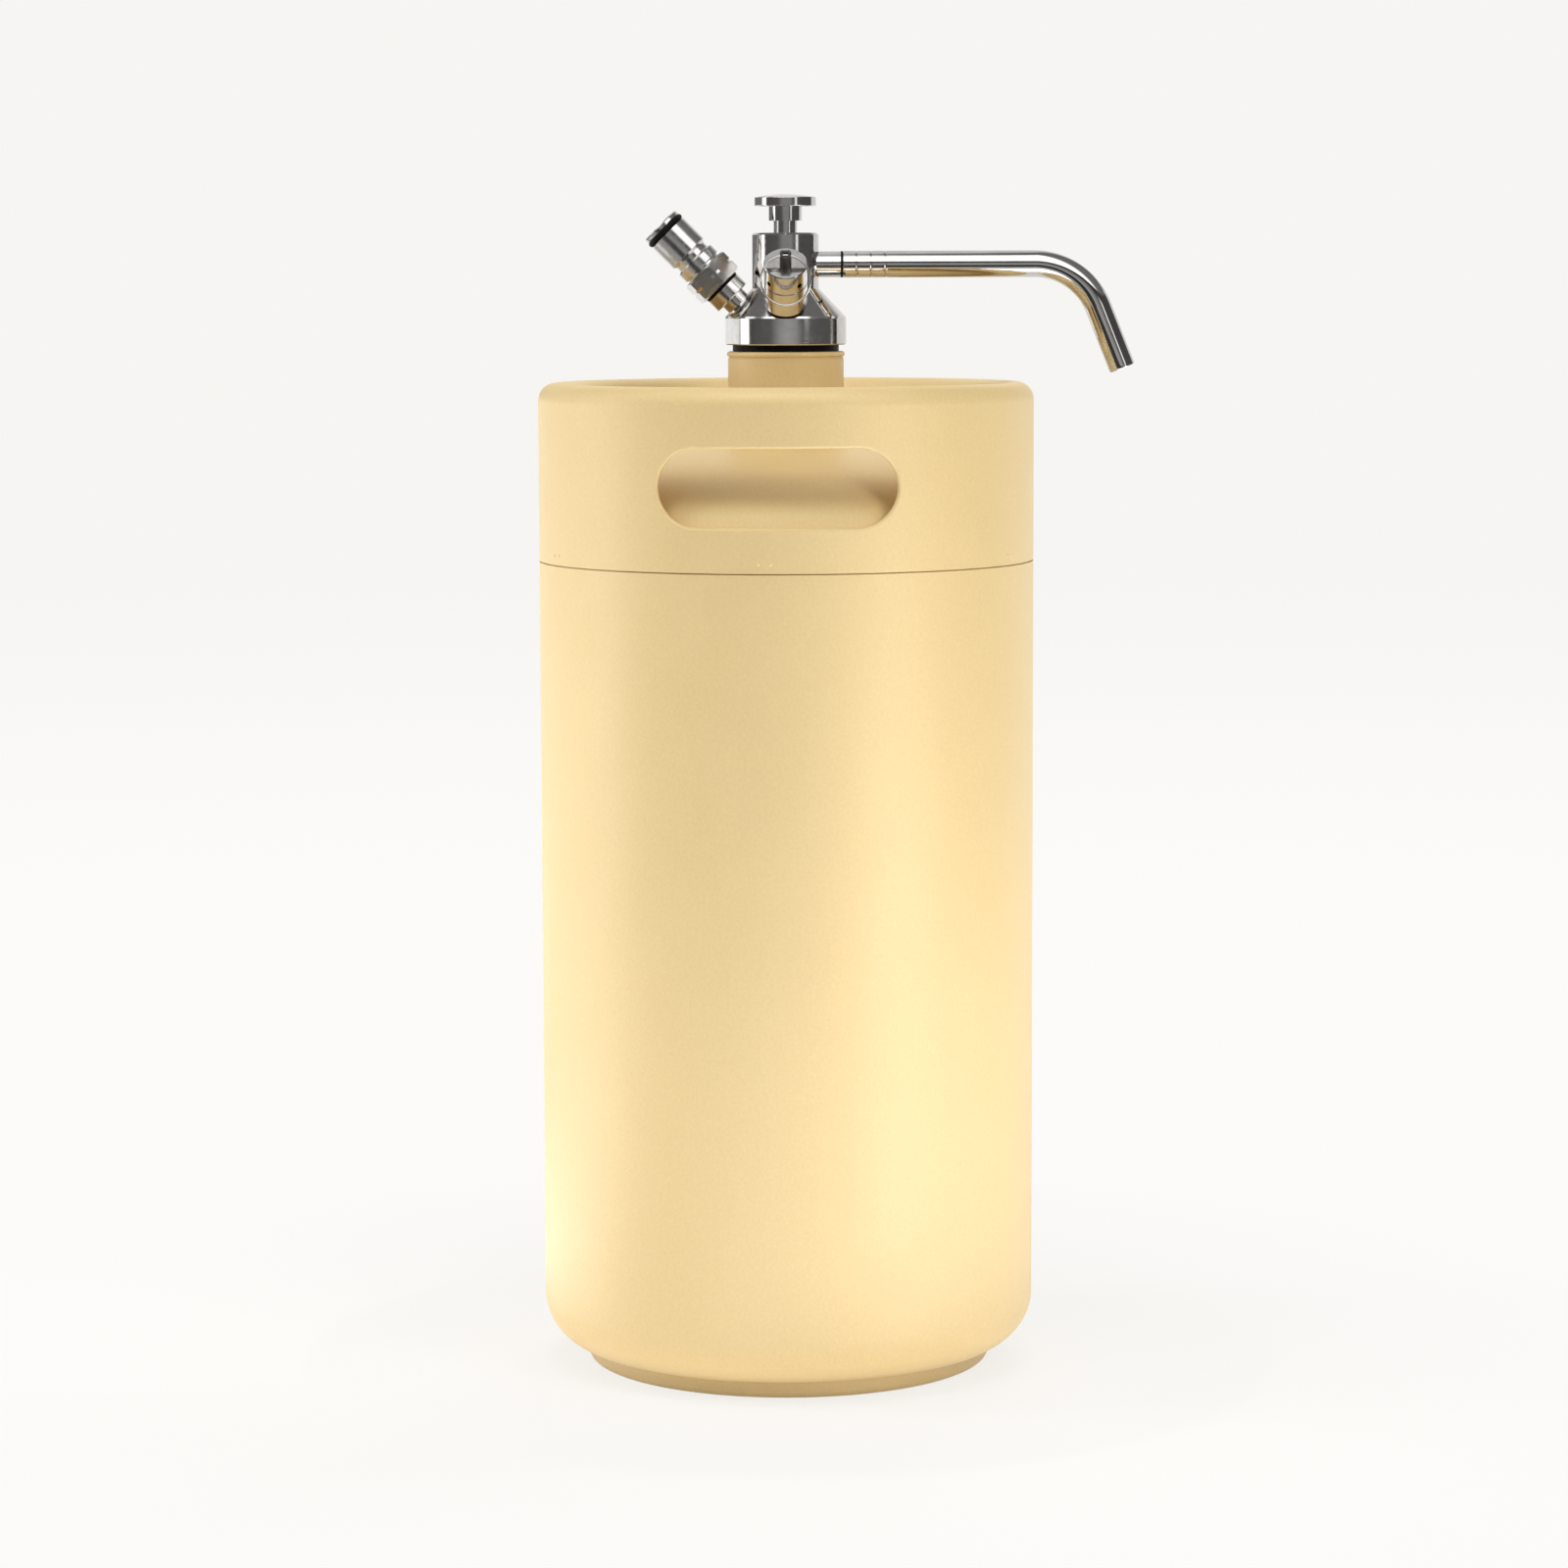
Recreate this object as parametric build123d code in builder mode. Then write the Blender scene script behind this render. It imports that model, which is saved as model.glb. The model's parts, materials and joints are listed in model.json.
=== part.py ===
from build123d import *
import os
from math import acos, cos, degrees, pi, radians, sin, sqrt

os.makedirs("parts", exist_ok=True)

# Mini keg with a screw-in dispensing tap. Origin: centre of the foot, on the floor. +Z is up the keg's axis,
# the spout points to +X, the gas post leans to -X and the relief valve leans to -Y. All sizes in mm.

# Keg
keg_radius = 100.0
keg_height = 399.0  # floor to the crest of the top chime
sheet = 1.2  # steel of the wall, the head and the chime
foot_height = 6.2
foot_inset = 22.0  # wall to the outside of the foot ring
foot_sheet = 1.5
foot_flange = 8.0  # width of the ring's flat sole
foot_bend = 2.4
corner_radius = 17.5  # wall to bottom
dish_inset = 28.0  # wall to where the bottom starts to dish upwards
dish_rise = 9.0
chime_height = 71.5  # seam with the wall to the crest
seam_gap = 0.5
head_lap = 12.0  # how far the head reaches down inside the wall
head_stand = 3.5  # seam to the start of the head's knuckle
knuckle_radius = 22.0
crown_radius = 165.0
rim_radius = 7.0
rim_return = 4.0  # straight lip below the rolled rim
handle_width = 92.6
handle_rise = 30.7
handle_drop = 38.6  # crest to the middle of the handle openings
handle_turn = -2.2  # how far the keg is turned against the tap, in degrees
handle_lip = 4.0  # depth of the pressed-in lip
handle_round = 1.0

# Neck
neck_bore = 17.2
neck_spigot = 20.5  # part of the neck that passes through the head
neck_radius = 23.35
neck_depth = 8.0  # below the head
neck_stand = 12.4  # neck above the crest
neck_bead = 0.4  # the top bead stands this far proud of the neck
neck_bead_height = 2.1
neck_bead_chamfer = 1.3
gasket_radius = 21.4
gasket_clearance = 1.1  # radial, round the plug's thread
gasket_thickness = 2.7

# Tap body
plug_length = 20.0
cap_radius = 24.45
cap_rise = 11.0
cone_rise = 11.5
tower_radius = 13.4
tower_rise = 44.7  # from the cap's underside to the top of the tower
port_radius = 19.1  # where the two leaning ports cross the cone
port_tilt = 45.0
port_socket = 6.0  # depth of both port sockets
spot_depth = 0.5
gas_drill = 1.7
plug_drill = 1.9
gas_drill_radius = 12.0  # distance of the vertical gas ways from the axis

# Dispensing valve
knob_travel = 4.0
stem_radius = 4.7
knob_clearance = 0.9  # between the pressed knob and the tower
guide_length = 8.4
outlet_chamber = 5.6
outlet_chamber_length = 9.0
seat_radius = 3.6
seat_length = 3.0
valve_chamber = 7.0
valve_head = 5.8
valve_head_length = 5.4
valve_washer_thickness = 1.95
spindle_radius = 2.0
stem_ring_section = 0.5
stem_ring_drop = 1.4  # top of the tower to the upper O-ring
stem_ring_pitch = 2.4
valve_coil = 4.9
valve_wire = 0.9
valve_turns = 6
knob_radius = 12.35
knob_hub = 6.65
knob_hub_rise = 5.7
knob_bore = 3.3
knob_disc_rise = 3.7
knob_crown = 1.3

# Dip tube
dip_radius = 4.0
dip_wall = 0.7
dip_floor_gap = 3.0  # above the crown of the bottom's dish
dip_seat_depth = 10.0  # how far the tube enters the plug
dip_ring_section = 0.6
nut_across_flats = 17.0
nut_head = 8.0
nut_shank = 14.0

# Outlet and spout
outlet_rise = 32.1  # cap's underside to the spout's axis
outlet_shoulder = 0.8  # the nipple's shoulder stands this far out from its spigot
outlet_bore = 3.0
outlet_socket = 5.0
outlet_reach = 22.2  # tap axis to the nipple's shoulder
spout_washer_thickness = 0.8
spout_radius = 5.4
spout_wall = 0.9
spout_bead_first = 28.7
spout_bead_pitch = 5.75
spout_bead_count = 3
spout_bead_depth = 0.6
spout_bead_round = 0.75  # section radius of the rolled grooves
spout_ring_section = 0.45
spout_overhang = 19.1  # keg's wall to where the two straight legs would meet
spout_drop = 45.2  # leg length beyond that corner
spout_droop = 68.3  # angle of the end leg below the horizontal
spout_bend = 28.0
spigot_end = 44.0

# Gas post, measured outwards along its own axis from the cone
adapter_neck = 5.4
adapter_neck_length = 3.2
adapter_radius = 8.0
adapter_length = 5.7
adapter_stud = 6.4
adapter_stud_length = 11.6
gas_bore = 2.2
post_seal_thickness = 0.9
post_hex = 19.0
post_hex_length = 9.8
post_hex_turn = 12.0
post_hex_slope = 0.6  # rise over run of the cones that round the hexagon's corners
notch_width = 1.2
notch_depth = 1.0
post_collar_radius = 8.9
post_collar_length = 4.4
post_radius = 8.7
post_groove_radius = 7.5
post_groove_length = 3.7
post_groove_flank = 1.2
post_length = 34.5
post_ring_section = 1.25
post_ring_radius = 8.9  # outside of the O-ring, just proud of the barrel
post_ring_drop = 3.0  # top of the post to the O-ring
post_ring_play = 0.15
post_lip_relief = 0.2  # the lip above the O-ring is this much smaller than the barrel
post_chamber = 5.2
post_mouth = 3.9
post_mouth_length = 7.8
poppet_radius = 2.6
poppet_flange = 4.6
poppet_flange_thickness = 1.4
poppet_seal_thickness = 2.0
poppet_drop = 1.0  # top of the post to the tip of the pin
poppet_round = 1.2
poppet_coil = 3.7
poppet_turns = 4

# Relief valve, measured outwards along its own axis from the cone
relief_radius = 8.7
relief_stub = 5.0
relief_seal_thickness = 1.5
relief_length = 21.5
relief_cap_length = 9.3
relief_edge = 0.4
relief_orifice = 1.8
relief_cavity = 6.4
relief_end_wall = 3.0
relief_floor = 5.0  # from the body's base to the floor of the cavity
relief_nozzle = 0.6  # height and wall of the nozzle that the disc shuts
relief_thread_wall = 1.0
relief_thread_length = 2.0
relief_disc_thickness = 1.6
relief_flange = 2.0
relief_vent = 1.1
relief_vent_depth = 5.9  # vents below the end face
relief_vent_turn = -5.0
relief_pin = 2.3
relief_pin_reach = 5.9  # pin beyond the end face
relief_eye = 1.3
relief_eye_height = 4.1  # eye beyond the end face
relief_fork = 1.1  # half the width of the fork in the pin's tip
relief_fork_depth = 1.0
relief_coil = 4.2
relief_turns = 4
ring_radius = 9.8
ring_wire = 0.5
ring_end_turn = 191.0  # where the wire's outer end lies, anticlockwise from the right
ring_joggle = 45.0  # how much of the turn the wire takes to step back behind itself
ring_slices = 5

# Fits
running = 0.05  # radial, between a sliding or turning piece and its bore
screwed = 0.1  # radial, between the plain cylinders that stand for mating threads
touch = 0.03  # between two faces that only touch
small_wire = 0.7
edge_break = 0.4
hex_corner = 1 / cos(radians(30))  # corner radius of a hexagon over half its width across flats

# Places that follow from the sizes above
foot_radius = keg_radius - foot_inset
dish_radius = keg_radius - dish_inset
seam_height = keg_height - chime_height
head_knuckle_height = seam_height + head_stand
handle_height = keg_height - handle_drop
neck_top = keg_height + neck_stand
cap_bottom = neck_top + gasket_thickness
cap_top = cap_bottom + cap_rise
cone_top = cap_top + cone_rise
tower_top = cap_bottom + tower_rise
plug_bottom = cap_bottom - plug_length
knob_bottom = tower_top + knob_travel + knob_clearance
outlet_height = cap_bottom + outlet_rise
spout_inner = spout_radius - spout_wall
spigot_radius = spout_inner - screwed
outlet_radius = spigot_radius + outlet_shoulder
spout_corner = keg_radius + spout_overhang
guide_bottom = tower_top - guide_length
chamber_bottom = guide_bottom - outlet_chamber_length
seat_height = chamber_bottom - seat_length
crown_centre = head_knuckle_height - sqrt(
    (crown_radius - knuckle_radius) ** 2 - (keg_radius - sheet - touch - knuckle_radius) ** 2
)
cone_slope = cone_rise / (cap_radius - tower_radius)
port_height = cap_top + (cap_radius - port_radius) * cone_slope

# Reference planes: on a section plane x is the radius and y runs along the axis
keg_section = Plane.XZ
tilt_out, tilt_up = cos(radians(port_tilt)), sin(radians(port_tilt))
gas_port = Plane(origin=(-port_radius, 0, port_height), x_dir=(0, -1, 0), z_dir=(-tilt_out, 0, tilt_up))
relief_port = Plane(origin=(0, -port_radius, port_height), x_dir=(1, 0, 0), z_dir=(0, -tilt_out, tilt_up))
outlet_port = Plane(origin=(0, 0, outlet_height), x_dir=(0, 1, 0), z_dir=(1, 0, 0))


def section_of(port):
    return Plane(origin=port.origin, x_dir=port.x_dir, z_dir=port.x_dir.cross(port.z_dir))


def axis_of(port):
    return Axis(port.origin, port.z_dir)


gas_section, gas_axis = section_of(gas_port), axis_of(gas_port)
relief_section, relief_axis = section_of(relief_port), axis_of(relief_port)
outlet_section, outlet_axis = section_of(outlet_port), axis_of(outlet_port)


def band(inner, outer, low, high, mode=Mode.ADD):
    """Half section of a ring or, with inner 0, of a disc."""
    with Locations(((inner + outer) / 2, (low + high) / 2)):
        Rectangle(outer - inner, high - low, mode=mode)


def cord_ring(major, height, minor):
    """Half section of an O-ring."""
    with Locations((major, height)):
        Circle(minor)


def rims(built, radius):
    """Circular edges of one radius."""
    circles = built.edges().filter_by(GeomType.CIRCLE)
    return [edge for edge in circles if abs(edge.radius - radius) < touch]


def finish(built, label):
    built.part.label = label
    export_step(built.part, f"parts/{label}.step")


# Keg -----------------------------------------------------------------------------------------------------

dish_curve = (dish_radius**2 + dish_rise**2) / (2 * dish_rise)  # radius of the dished bottom
dish_centre = (0, foot_height + dish_rise - dish_curve)


def dish_turn(thickness=0.0):
    return degrees(acos(dish_radius / (dish_curve + thickness)))


with BuildPart() as vessel_shell:
    wall_top = seam_height - seam_gap / 2
    corner_centre = (keg_radius - corner_radius, foot_height + corner_radius)
    dish_edge = (dish_radius, dish_centre[1] + sqrt((dish_curve + sheet) ** 2 - dish_radius**2))
    with BuildSketch(keg_section):
        with BuildLine():
            Line((keg_radius, wall_top), (keg_radius, corner_centre[1]))
            CenterArc(corner_centre, corner_radius, 0, -90)
            Line((corner_centre[0], foot_height), (dish_radius, foot_height))
            CenterArc(dish_centre, dish_curve, dish_turn(), 90 - dish_turn())
            Line((0, foot_height + dish_rise), (0, foot_height + dish_rise + sheet))
            CenterArc(dish_centre, dish_curve + sheet, 90, dish_turn(sheet) - 90)
            Line(dish_edge, (corner_centre[0], foot_height + sheet))
            CenterArc(corner_centre, corner_radius - sheet, -90, 90)
            Line((keg_radius - sheet, corner_centre[1]), (keg_radius - sheet, wall_top))
            Line((keg_radius - sheet, wall_top), (keg_radius, wall_top))
        make_face()
    revolve(axis=Axis.Z)
finish(vessel_shell, "vessel_shell")

# The drawn head laps inside both the wall and the chime.
head_radius = keg_radius - sheet - touch
knuckle_turn = degrees(acos((head_radius - knuckle_radius) / (crown_radius - knuckle_radius)))
neck_hole = neck_spigot + screwed


def crown_height(radius, thickness=0.0):
    return crown_centre + sqrt((crown_radius - thickness) ** 2 - radius**2)


def crown_turn(thickness=0.0):
    return degrees(acos(neck_hole / (crown_radius - thickness)))


with BuildPart() as vessel_head:
    with BuildSketch(keg_section):
        with BuildLine():
            knuckle_centre = (head_radius - knuckle_radius, head_knuckle_height)
            Line((head_radius, seam_height - head_lap), (head_radius, head_knuckle_height))
            CenterArc(knuckle_centre, knuckle_radius, 0, knuckle_turn)
            CenterArc((0, crown_centre), crown_radius, knuckle_turn, crown_turn() - knuckle_turn)
            Line((neck_hole, crown_height(neck_hole)), (neck_hole, crown_height(neck_hole, sheet)))
            CenterArc(
                (0, crown_centre), crown_radius - sheet, crown_turn(sheet), knuckle_turn - crown_turn(sheet)
            )
            CenterArc(knuckle_centre, knuckle_radius - sheet, knuckle_turn, -knuckle_turn)
            Line((head_radius - sheet, head_knuckle_height), (head_radius - sheet, seam_height - head_lap))
            Line((head_radius - sheet, seam_height - head_lap), (head_radius, seam_height - head_lap))
        make_face()
    revolve(axis=Axis.Z)
finish(vessel_head, "vessel_head")

# The chime carries the two handle openings and ends in a rolled rim.
handle_azimuth = radians(-90 + handle_turn)
handle_plane = Plane(
    origin=(0, 0, handle_height),
    x_dir=(-sin(handle_azimuth), cos(handle_azimuth), 0),
    z_dir=(cos(handle_azimuth), sin(handle_azimuth), 0),
)

with BuildPart() as handle_lips:
    with BuildSketch(handle_plane):
        SlotOverall(handle_width + 2 * sheet, handle_rise + 2 * sheet)
        SlotOverall(handle_width, handle_rise, mode=Mode.SUBTRACT)
    extrude(amount=keg_radius, both=True)
    with BuildSketch(Plane.XY.offset(handle_height - handle_rise)):
        Circle(keg_radius - sheet / 2)
        Circle(keg_radius - handle_lip, mode=Mode.SUBTRACT)
    extrude(amount=2 * handle_rise, mode=Mode.INTERSECT)

with BuildPart() as top_chime:
    rim_crest = keg_radius - rim_radius
    rim_turn = keg_height - rim_radius
    with BuildSketch(keg_section):
        with BuildLine():
            Line((keg_radius, seam_height + seam_gap / 2), (keg_radius, rim_turn))
            CenterArc((rim_crest, rim_turn), rim_radius, 0, 180)
            Line((rim_crest - rim_radius, rim_turn), (rim_crest - rim_radius, rim_turn - rim_return))
            Line(
                (rim_crest - rim_radius, rim_turn - rim_return),
                (rim_crest - rim_radius + sheet, rim_turn - rim_return),
            )
            Line(
                (rim_crest - rim_radius + sheet, rim_turn - rim_return),
                (rim_crest - rim_radius + sheet, rim_turn),
            )
            CenterArc((rim_crest, rim_turn), rim_radius - sheet, 180, -180)
            Line((keg_radius - sheet, rim_turn), (keg_radius - sheet, seam_height + seam_gap / 2))
            Line((keg_radius - sheet, seam_height + seam_gap / 2), (keg_radius, seam_height + seam_gap / 2))
        make_face()
    revolve(axis=Axis.Z)
    with BuildSketch(handle_plane):
        SlotOverall(handle_width, handle_rise)
    extrude(amount=keg_radius + sheet, both=True, mode=Mode.SUBTRACT)
    add(handle_lips.part)
    opening_edges = [
        edge
        for edge in top_chime.edges()
        if abs(edge.center().Z - handle_height) < handle_rise
        and all(abs(Vector(p.X, p.Y).length - keg_radius) < touch for p in (edge @ 0, edge @ 0.5, edge @ 1))
    ]
    fillet(opening_edges, handle_round)
finish(top_chime, "top_chime")

with BuildPart() as foot_ring:
    with BuildSketch(keg_section):
        with BuildLine():
            outer_bend = (foot_radius - foot_bend, foot_bend)
            Line((foot_radius, foot_height), (foot_radius, foot_bend))
            CenterArc(outer_bend, foot_bend, 0, -90)
            Line((foot_radius - foot_bend, 0), (foot_radius - foot_flange, 0))
            Line((foot_radius - foot_flange, 0), (foot_radius - foot_flange, foot_sheet))
            Line((foot_radius - foot_flange, foot_sheet), (foot_radius - foot_bend, foot_sheet))
            CenterArc(outer_bend, foot_bend - foot_sheet, -90, 90)
            Line((foot_radius - foot_sheet, foot_bend), (foot_radius - foot_sheet, foot_height))
            Line((foot_radius - foot_sheet, foot_height), (foot_radius, foot_height))
        make_face()
    revolve(axis=Axis.Z)
finish(foot_ring, "foot_ring")

neck_base = crown_height(neck_hole) + touch
with BuildPart() as neck_collar:
    with BuildSketch(keg_section):
        band(neck_bore, neck_spigot, neck_base - neck_depth, neck_base)
        band(neck_bore, neck_radius, neck_base, neck_top)
        with BuildLine():
            Polyline(
                (neck_radius - neck_bead_chamfer, neck_top - neck_bead_height),
                (neck_radius, neck_top - neck_bead_height),
                (neck_radius + neck_bead, neck_top - neck_bead_height + neck_bead),
                (neck_radius + neck_bead, neck_top - neck_bead_chamfer),
                (neck_radius + neck_bead - neck_bead_chamfer, neck_top),
                (neck_radius - neck_bead_chamfer, neck_top),
                close=True,
            )
        make_face()
        bead_corner = (neck_radius + neck_bead - neck_bead_chamfer, neck_top)
        with BuildLine():
            Polyline(
                bead_corner,
                (neck_radius + neck_bead, neck_top),
                (neck_radius + neck_bead, neck_top - neck_bead_chamfer),
                close=True,
            )
        make_face(mode=Mode.SUBTRACT)
    revolve(axis=Axis.Z)
finish(neck_collar, "neck_collar")

plug_radius = neck_bore - screwed
with BuildPart() as neck_gasket:
    with BuildSketch(keg_section):
        band(plug_radius + gasket_clearance, gasket_radius, neck_top, cap_bottom)
    revolve(axis=Axis.Z)
    fillet(rims(neck_gasket, gasket_radius), edge_break)
finish(neck_gasket, "neck_gasket")

# Tap body ------------------------------------------------------------------------------------------------

relief_base = relief_seal_thickness - spot_depth
gas_way_depth = (port_radius - gas_drill_radius) / tilt_out + plug_drill
gas_way_top = port_height - (port_radius - gas_drill_radius) * tilt_up / tilt_out

with BuildPart() as tap_body:
    with BuildSketch(keg_section):
        with BuildLine():
            Polyline(
                (0, plug_bottom),
                (plug_radius - edge_break, plug_bottom),
                (plug_radius, plug_bottom + edge_break),
                (plug_radius, cap_bottom),
                (cap_radius - edge_break, cap_bottom),
                (cap_radius, cap_bottom + edge_break),
                (cap_radius, cap_top - edge_break),
                (cap_radius - edge_break, cap_top + edge_break * cone_slope),
                (tower_radius, cone_top),
                (tower_radius, tower_top - 2 * edge_break),
                (tower_radius - 2 * edge_break, tower_top),
                (0, tower_top),
                close=True,
            )
        make_face()
        band(0, stem_radius + running, guide_bottom, tower_top, mode=Mode.SUBTRACT)
        band(0, outlet_chamber, chamber_bottom, guide_bottom, mode=Mode.SUBTRACT)
        band(0, seat_radius, seat_height, chamber_bottom, mode=Mode.SUBTRACT)
        band(0, valve_chamber, plug_bottom, seat_height, mode=Mode.SUBTRACT)
    revolve(axis=Axis.Z)
    # gas port: socket for the adapter, leaning drill and the vertical way down through the plug
    with BuildSketch(gas_section):
        band(0, adapter_neck + screwed, -port_socket, adapter_neck_length)
        band(0, gas_drill, -gas_way_depth, 0)
    revolve(axis=gas_axis, mode=Mode.SUBTRACT)
    # relief port: spot face for the seal, socket and drill
    with BuildSketch(relief_section):
        band(0, relief_radius + screwed, -spot_depth, relief_radius)
        band(0, relief_stub + screwed, -port_socket, 0)
        band(0, gas_drill, -gas_way_depth, 0)
    revolve(axis=relief_axis, mode=Mode.SUBTRACT)
    with BuildSketch(Plane.XY.offset(plug_bottom)):
        with Locations((-gas_drill_radius, 0), (0, -gas_drill_radius)):
            Circle(plug_drill)
    extrude(amount=gas_way_top - plug_bottom, mode=Mode.SUBTRACT)
    # outlet: socket for the nipple and the drill into the chamber
    with BuildSketch(outlet_section):
        band(0, outlet_radius + screwed, tower_radius - outlet_socket, 2 * tower_radius)
        band(0, outlet_bore, 0, tower_radius)
    revolve(axis=outlet_axis, mode=Mode.SUBTRACT)
finish(tap_body, "tap_body")

# Dispensing valve ----------------------------------------------------------------------------------------

nut_top = plug_bottom + nut_shank
stem_low = guide_bottom - running - stem_ring_pitch / 2
washer_low = seat_height - touch - valve_washer_thickness
head_low = washer_low - valve_head_length
stem_ring_major = stem_radius - stem_ring_section + running / 2
stem_ring_heights = [tower_top - stem_ring_drop - stem_ring_pitch * place for place in range(2)]

with BuildPart() as valve_stem:
    with BuildSketch(keg_section):
        band(0, stem_radius, stem_low, knob_bottom)
        band(0, knob_bore - screwed, knob_bottom, knob_bottom + knob_hub_rise - edge_break)
        band(0, spindle_radius, washer_low, stem_low)
        band(0, valve_head, head_low, washer_low)
        band(0, valve_coil - valve_wire - screwed, head_low - spindle_radius, head_low)
        for height in stem_ring_heights:
            low = height - stem_ring_section - touch
            high = height + stem_ring_section + touch
            band(stem_radius - 2 * stem_ring_section, stem_radius, low, high, mode=Mode.SUBTRACT)
    revolve(axis=Axis.Z)
finish(valve_stem, "valve_stem")

with BuildPart() as stem_o_rings:
    with BuildSketch(keg_section):
        for height in stem_ring_heights:
            cord_ring(stem_ring_major, height, stem_ring_section)
    revolve(axis=Axis.Z)
finish(stem_o_rings, "stem_o_rings")

with BuildPart() as valve_washer:
    with BuildSketch(keg_section):
        band(spindle_radius + touch, valve_head - screwed, washer_low, seat_height - touch)
    revolve(axis=Axis.Z)
finish(valve_washer, "valve_washer")

with BuildPart() as valve_knob:
    disc_low = knob_bottom + knob_hub_rise
    disc_top = disc_low + knob_disc_rise
    crown_curve = (knob_radius**2 + knob_crown**2) / (2 * knob_crown)
    crown_edge_turn = degrees(acos(knob_radius / crown_curve))
    crown_top = disc_top + knob_crown
    with BuildSketch(keg_section):
        band(0, knob_hub, knob_bottom, disc_low)
        with BuildLine():
            Polyline((0, crown_top), (0, disc_low), (knob_radius, disc_low), (knob_radius, disc_top))
            CenterArc((0, crown_top - crown_curve), crown_curve, crown_edge_turn, 90 - crown_edge_turn)
        make_face()
        band(0, knob_bore, knob_bottom, disc_low, mode=Mode.SUBTRACT)
    revolve(axis=Axis.Z)
    fillet(rims(valve_knob, knob_radius), edge_break)
finish(valve_knob, "valve_knob")


def coil_spring(port, coil, wire, low, high, turns):
    """Compression spring between two faces across a port's axis."""
    length = high - low - wire - 2 * touch
    start = port.offset(low + wire / 2 + touch)
    with BuildPart() as spring:
        with BuildLine() as path:
            Helix(length / turns, length, coil, center=start.origin, direction=start.z_dir)
        with BuildSketch(Plane(origin=path.line @ 0, z_dir=path.line % 0)):
            Circle(wire / 2)
        sweep(path=path.line, is_frenet=True)
    return spring


valve_spring = coil_spring(Plane.XY, valve_coil, valve_wire, nut_top, head_low, valve_turns)
finish(valve_spring, "valve_spring")

# Dip tube ------------------------------------------------------------------------------------------------

dip_top = plug_bottom + dip_seat_depth
dip_ring_height = plug_bottom + dip_seat_depth / 2

with BuildPart() as dip_tube_nut:
    with BuildSketch(Plane.XY.offset(plug_bottom - nut_head)):
        RegularPolygon(nut_across_flats / 2, 6, major_radius=False)
    extrude(amount=nut_head)
    with BuildSketch(keg_section):
        band(0, valve_chamber - screwed, plug_bottom, nut_top)
    revolve(axis=Axis.Z)
    with BuildSketch(keg_section):
        band(0, dip_radius + running, plug_bottom - nut_head, dip_top + touch)
        band(0, dip_radius - dip_wall, dip_top, nut_top)
        band(
            dip_radius,
            dip_radius + 2 * dip_ring_section + touch,
            dip_ring_height - dip_ring_section - touch,
            dip_ring_height + dip_ring_section + touch,
        )
    revolve(axis=Axis.Z, mode=Mode.SUBTRACT)
finish(dip_tube_nut, "dip_tube_nut")

with BuildPart() as dip_tube_o_ring:
    with BuildSketch(keg_section):
        cord_ring(dip_radius + running / 2 + dip_ring_section, dip_ring_height, dip_ring_section)
    revolve(axis=Axis.Z)
finish(dip_tube_o_ring, "dip_tube_o_ring")

with BuildPart() as dip_tube:
    dip_low = foot_height + dish_rise + sheet + dip_floor_gap
    with BuildSketch(keg_section):
        band(dip_radius - dip_wall, dip_radius, dip_low, dip_top)
    revolve(axis=Axis.Z)
finish(dip_tube, "dip_tube")

# Outlet and spout ----------------------------------------------------------------------------------------

spout_start = outlet_reach + spout_washer_thickness
spout_beads = [spout_bead_first + spout_bead_pitch * place for place in range(spout_bead_count)]
spout_ring_places = [(low + high) / 2 for low, high in zip(spout_beads, spout_beads[1:])]
bead_centre = spout_radius + spout_bead_round - spout_bead_depth
bead_outer = spout_bead_round + spout_wall - touch

with BuildPart() as outlet_nipple:
    with BuildSketch(outlet_section):
        band(outlet_bore, outlet_radius, tower_radius - outlet_socket, outlet_reach)
        band(outlet_bore, spigot_radius, outlet_reach, spigot_end)
        for place in spout_beads:
            band(
                bead_centre - bead_outer - screwed,
                spigot_radius,
                place - bead_outer,
                place + bead_outer,
                mode=Mode.SUBTRACT,
            )
        for place in spout_ring_places:
            band(
                spigot_radius - 2 * spout_ring_section + screwed - touch,
                spigot_radius,
                place - spout_ring_section - touch,
                place + spout_ring_section + touch,
                mode=Mode.SUBTRACT,
            )
    revolve(axis=outlet_axis)
finish(outlet_nipple, "outlet_nipple")

with BuildPart() as spout_o_rings:
    with BuildSketch(outlet_section):
        for place in spout_ring_places:
            cord_ring(spout_inner - touch - spout_ring_section, place, spout_ring_section)
    revolve(axis=outlet_axis)
finish(spout_o_rings, "spout_o_rings")

with BuildPart() as spout_washer:
    with BuildSketch(outlet_section):
        band(spigot_radius + touch, outlet_radius + screwed, outlet_reach, spout_start - touch)
    revolve(axis=outlet_axis)
finish(spout_washer, "spout_washer")

with BuildPart() as spout:
    tip = (
        spout_corner + spout_drop * cos(radians(spout_droop)),
        outlet_height - spout_drop * sin(radians(spout_droop)),
    )
    with BuildLine(Plane.XZ) as spout_path:
        FilletPolyline((spout_start, outlet_height), (spout_corner, outlet_height), tip, radius=spout_bend)
    with BuildSketch(outlet_port.offset(spout_start)):
        Circle(spout_radius)
        Circle(spout_inner, mode=Mode.SUBTRACT)
    sweep(path=spout_path.line)
    with BuildSketch(outlet_section):
        for place in spout_beads:
            with Locations((bead_centre, place)):
                Circle(bead_outer)
        band(0, spout_inner + touch, spout_start, spigot_end, mode=Mode.INTERSECT)
    revolve(axis=outlet_axis)
    with BuildSketch(outlet_section):
        for place in spout_beads:
            with Locations((bead_centre, place)):
                Circle(spout_bead_round)
    revolve(axis=outlet_axis, mode=Mode.SUBTRACT)
finish(spout, "spout")

# Gas post ------------------------------------------------------------------------------------------------

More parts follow.
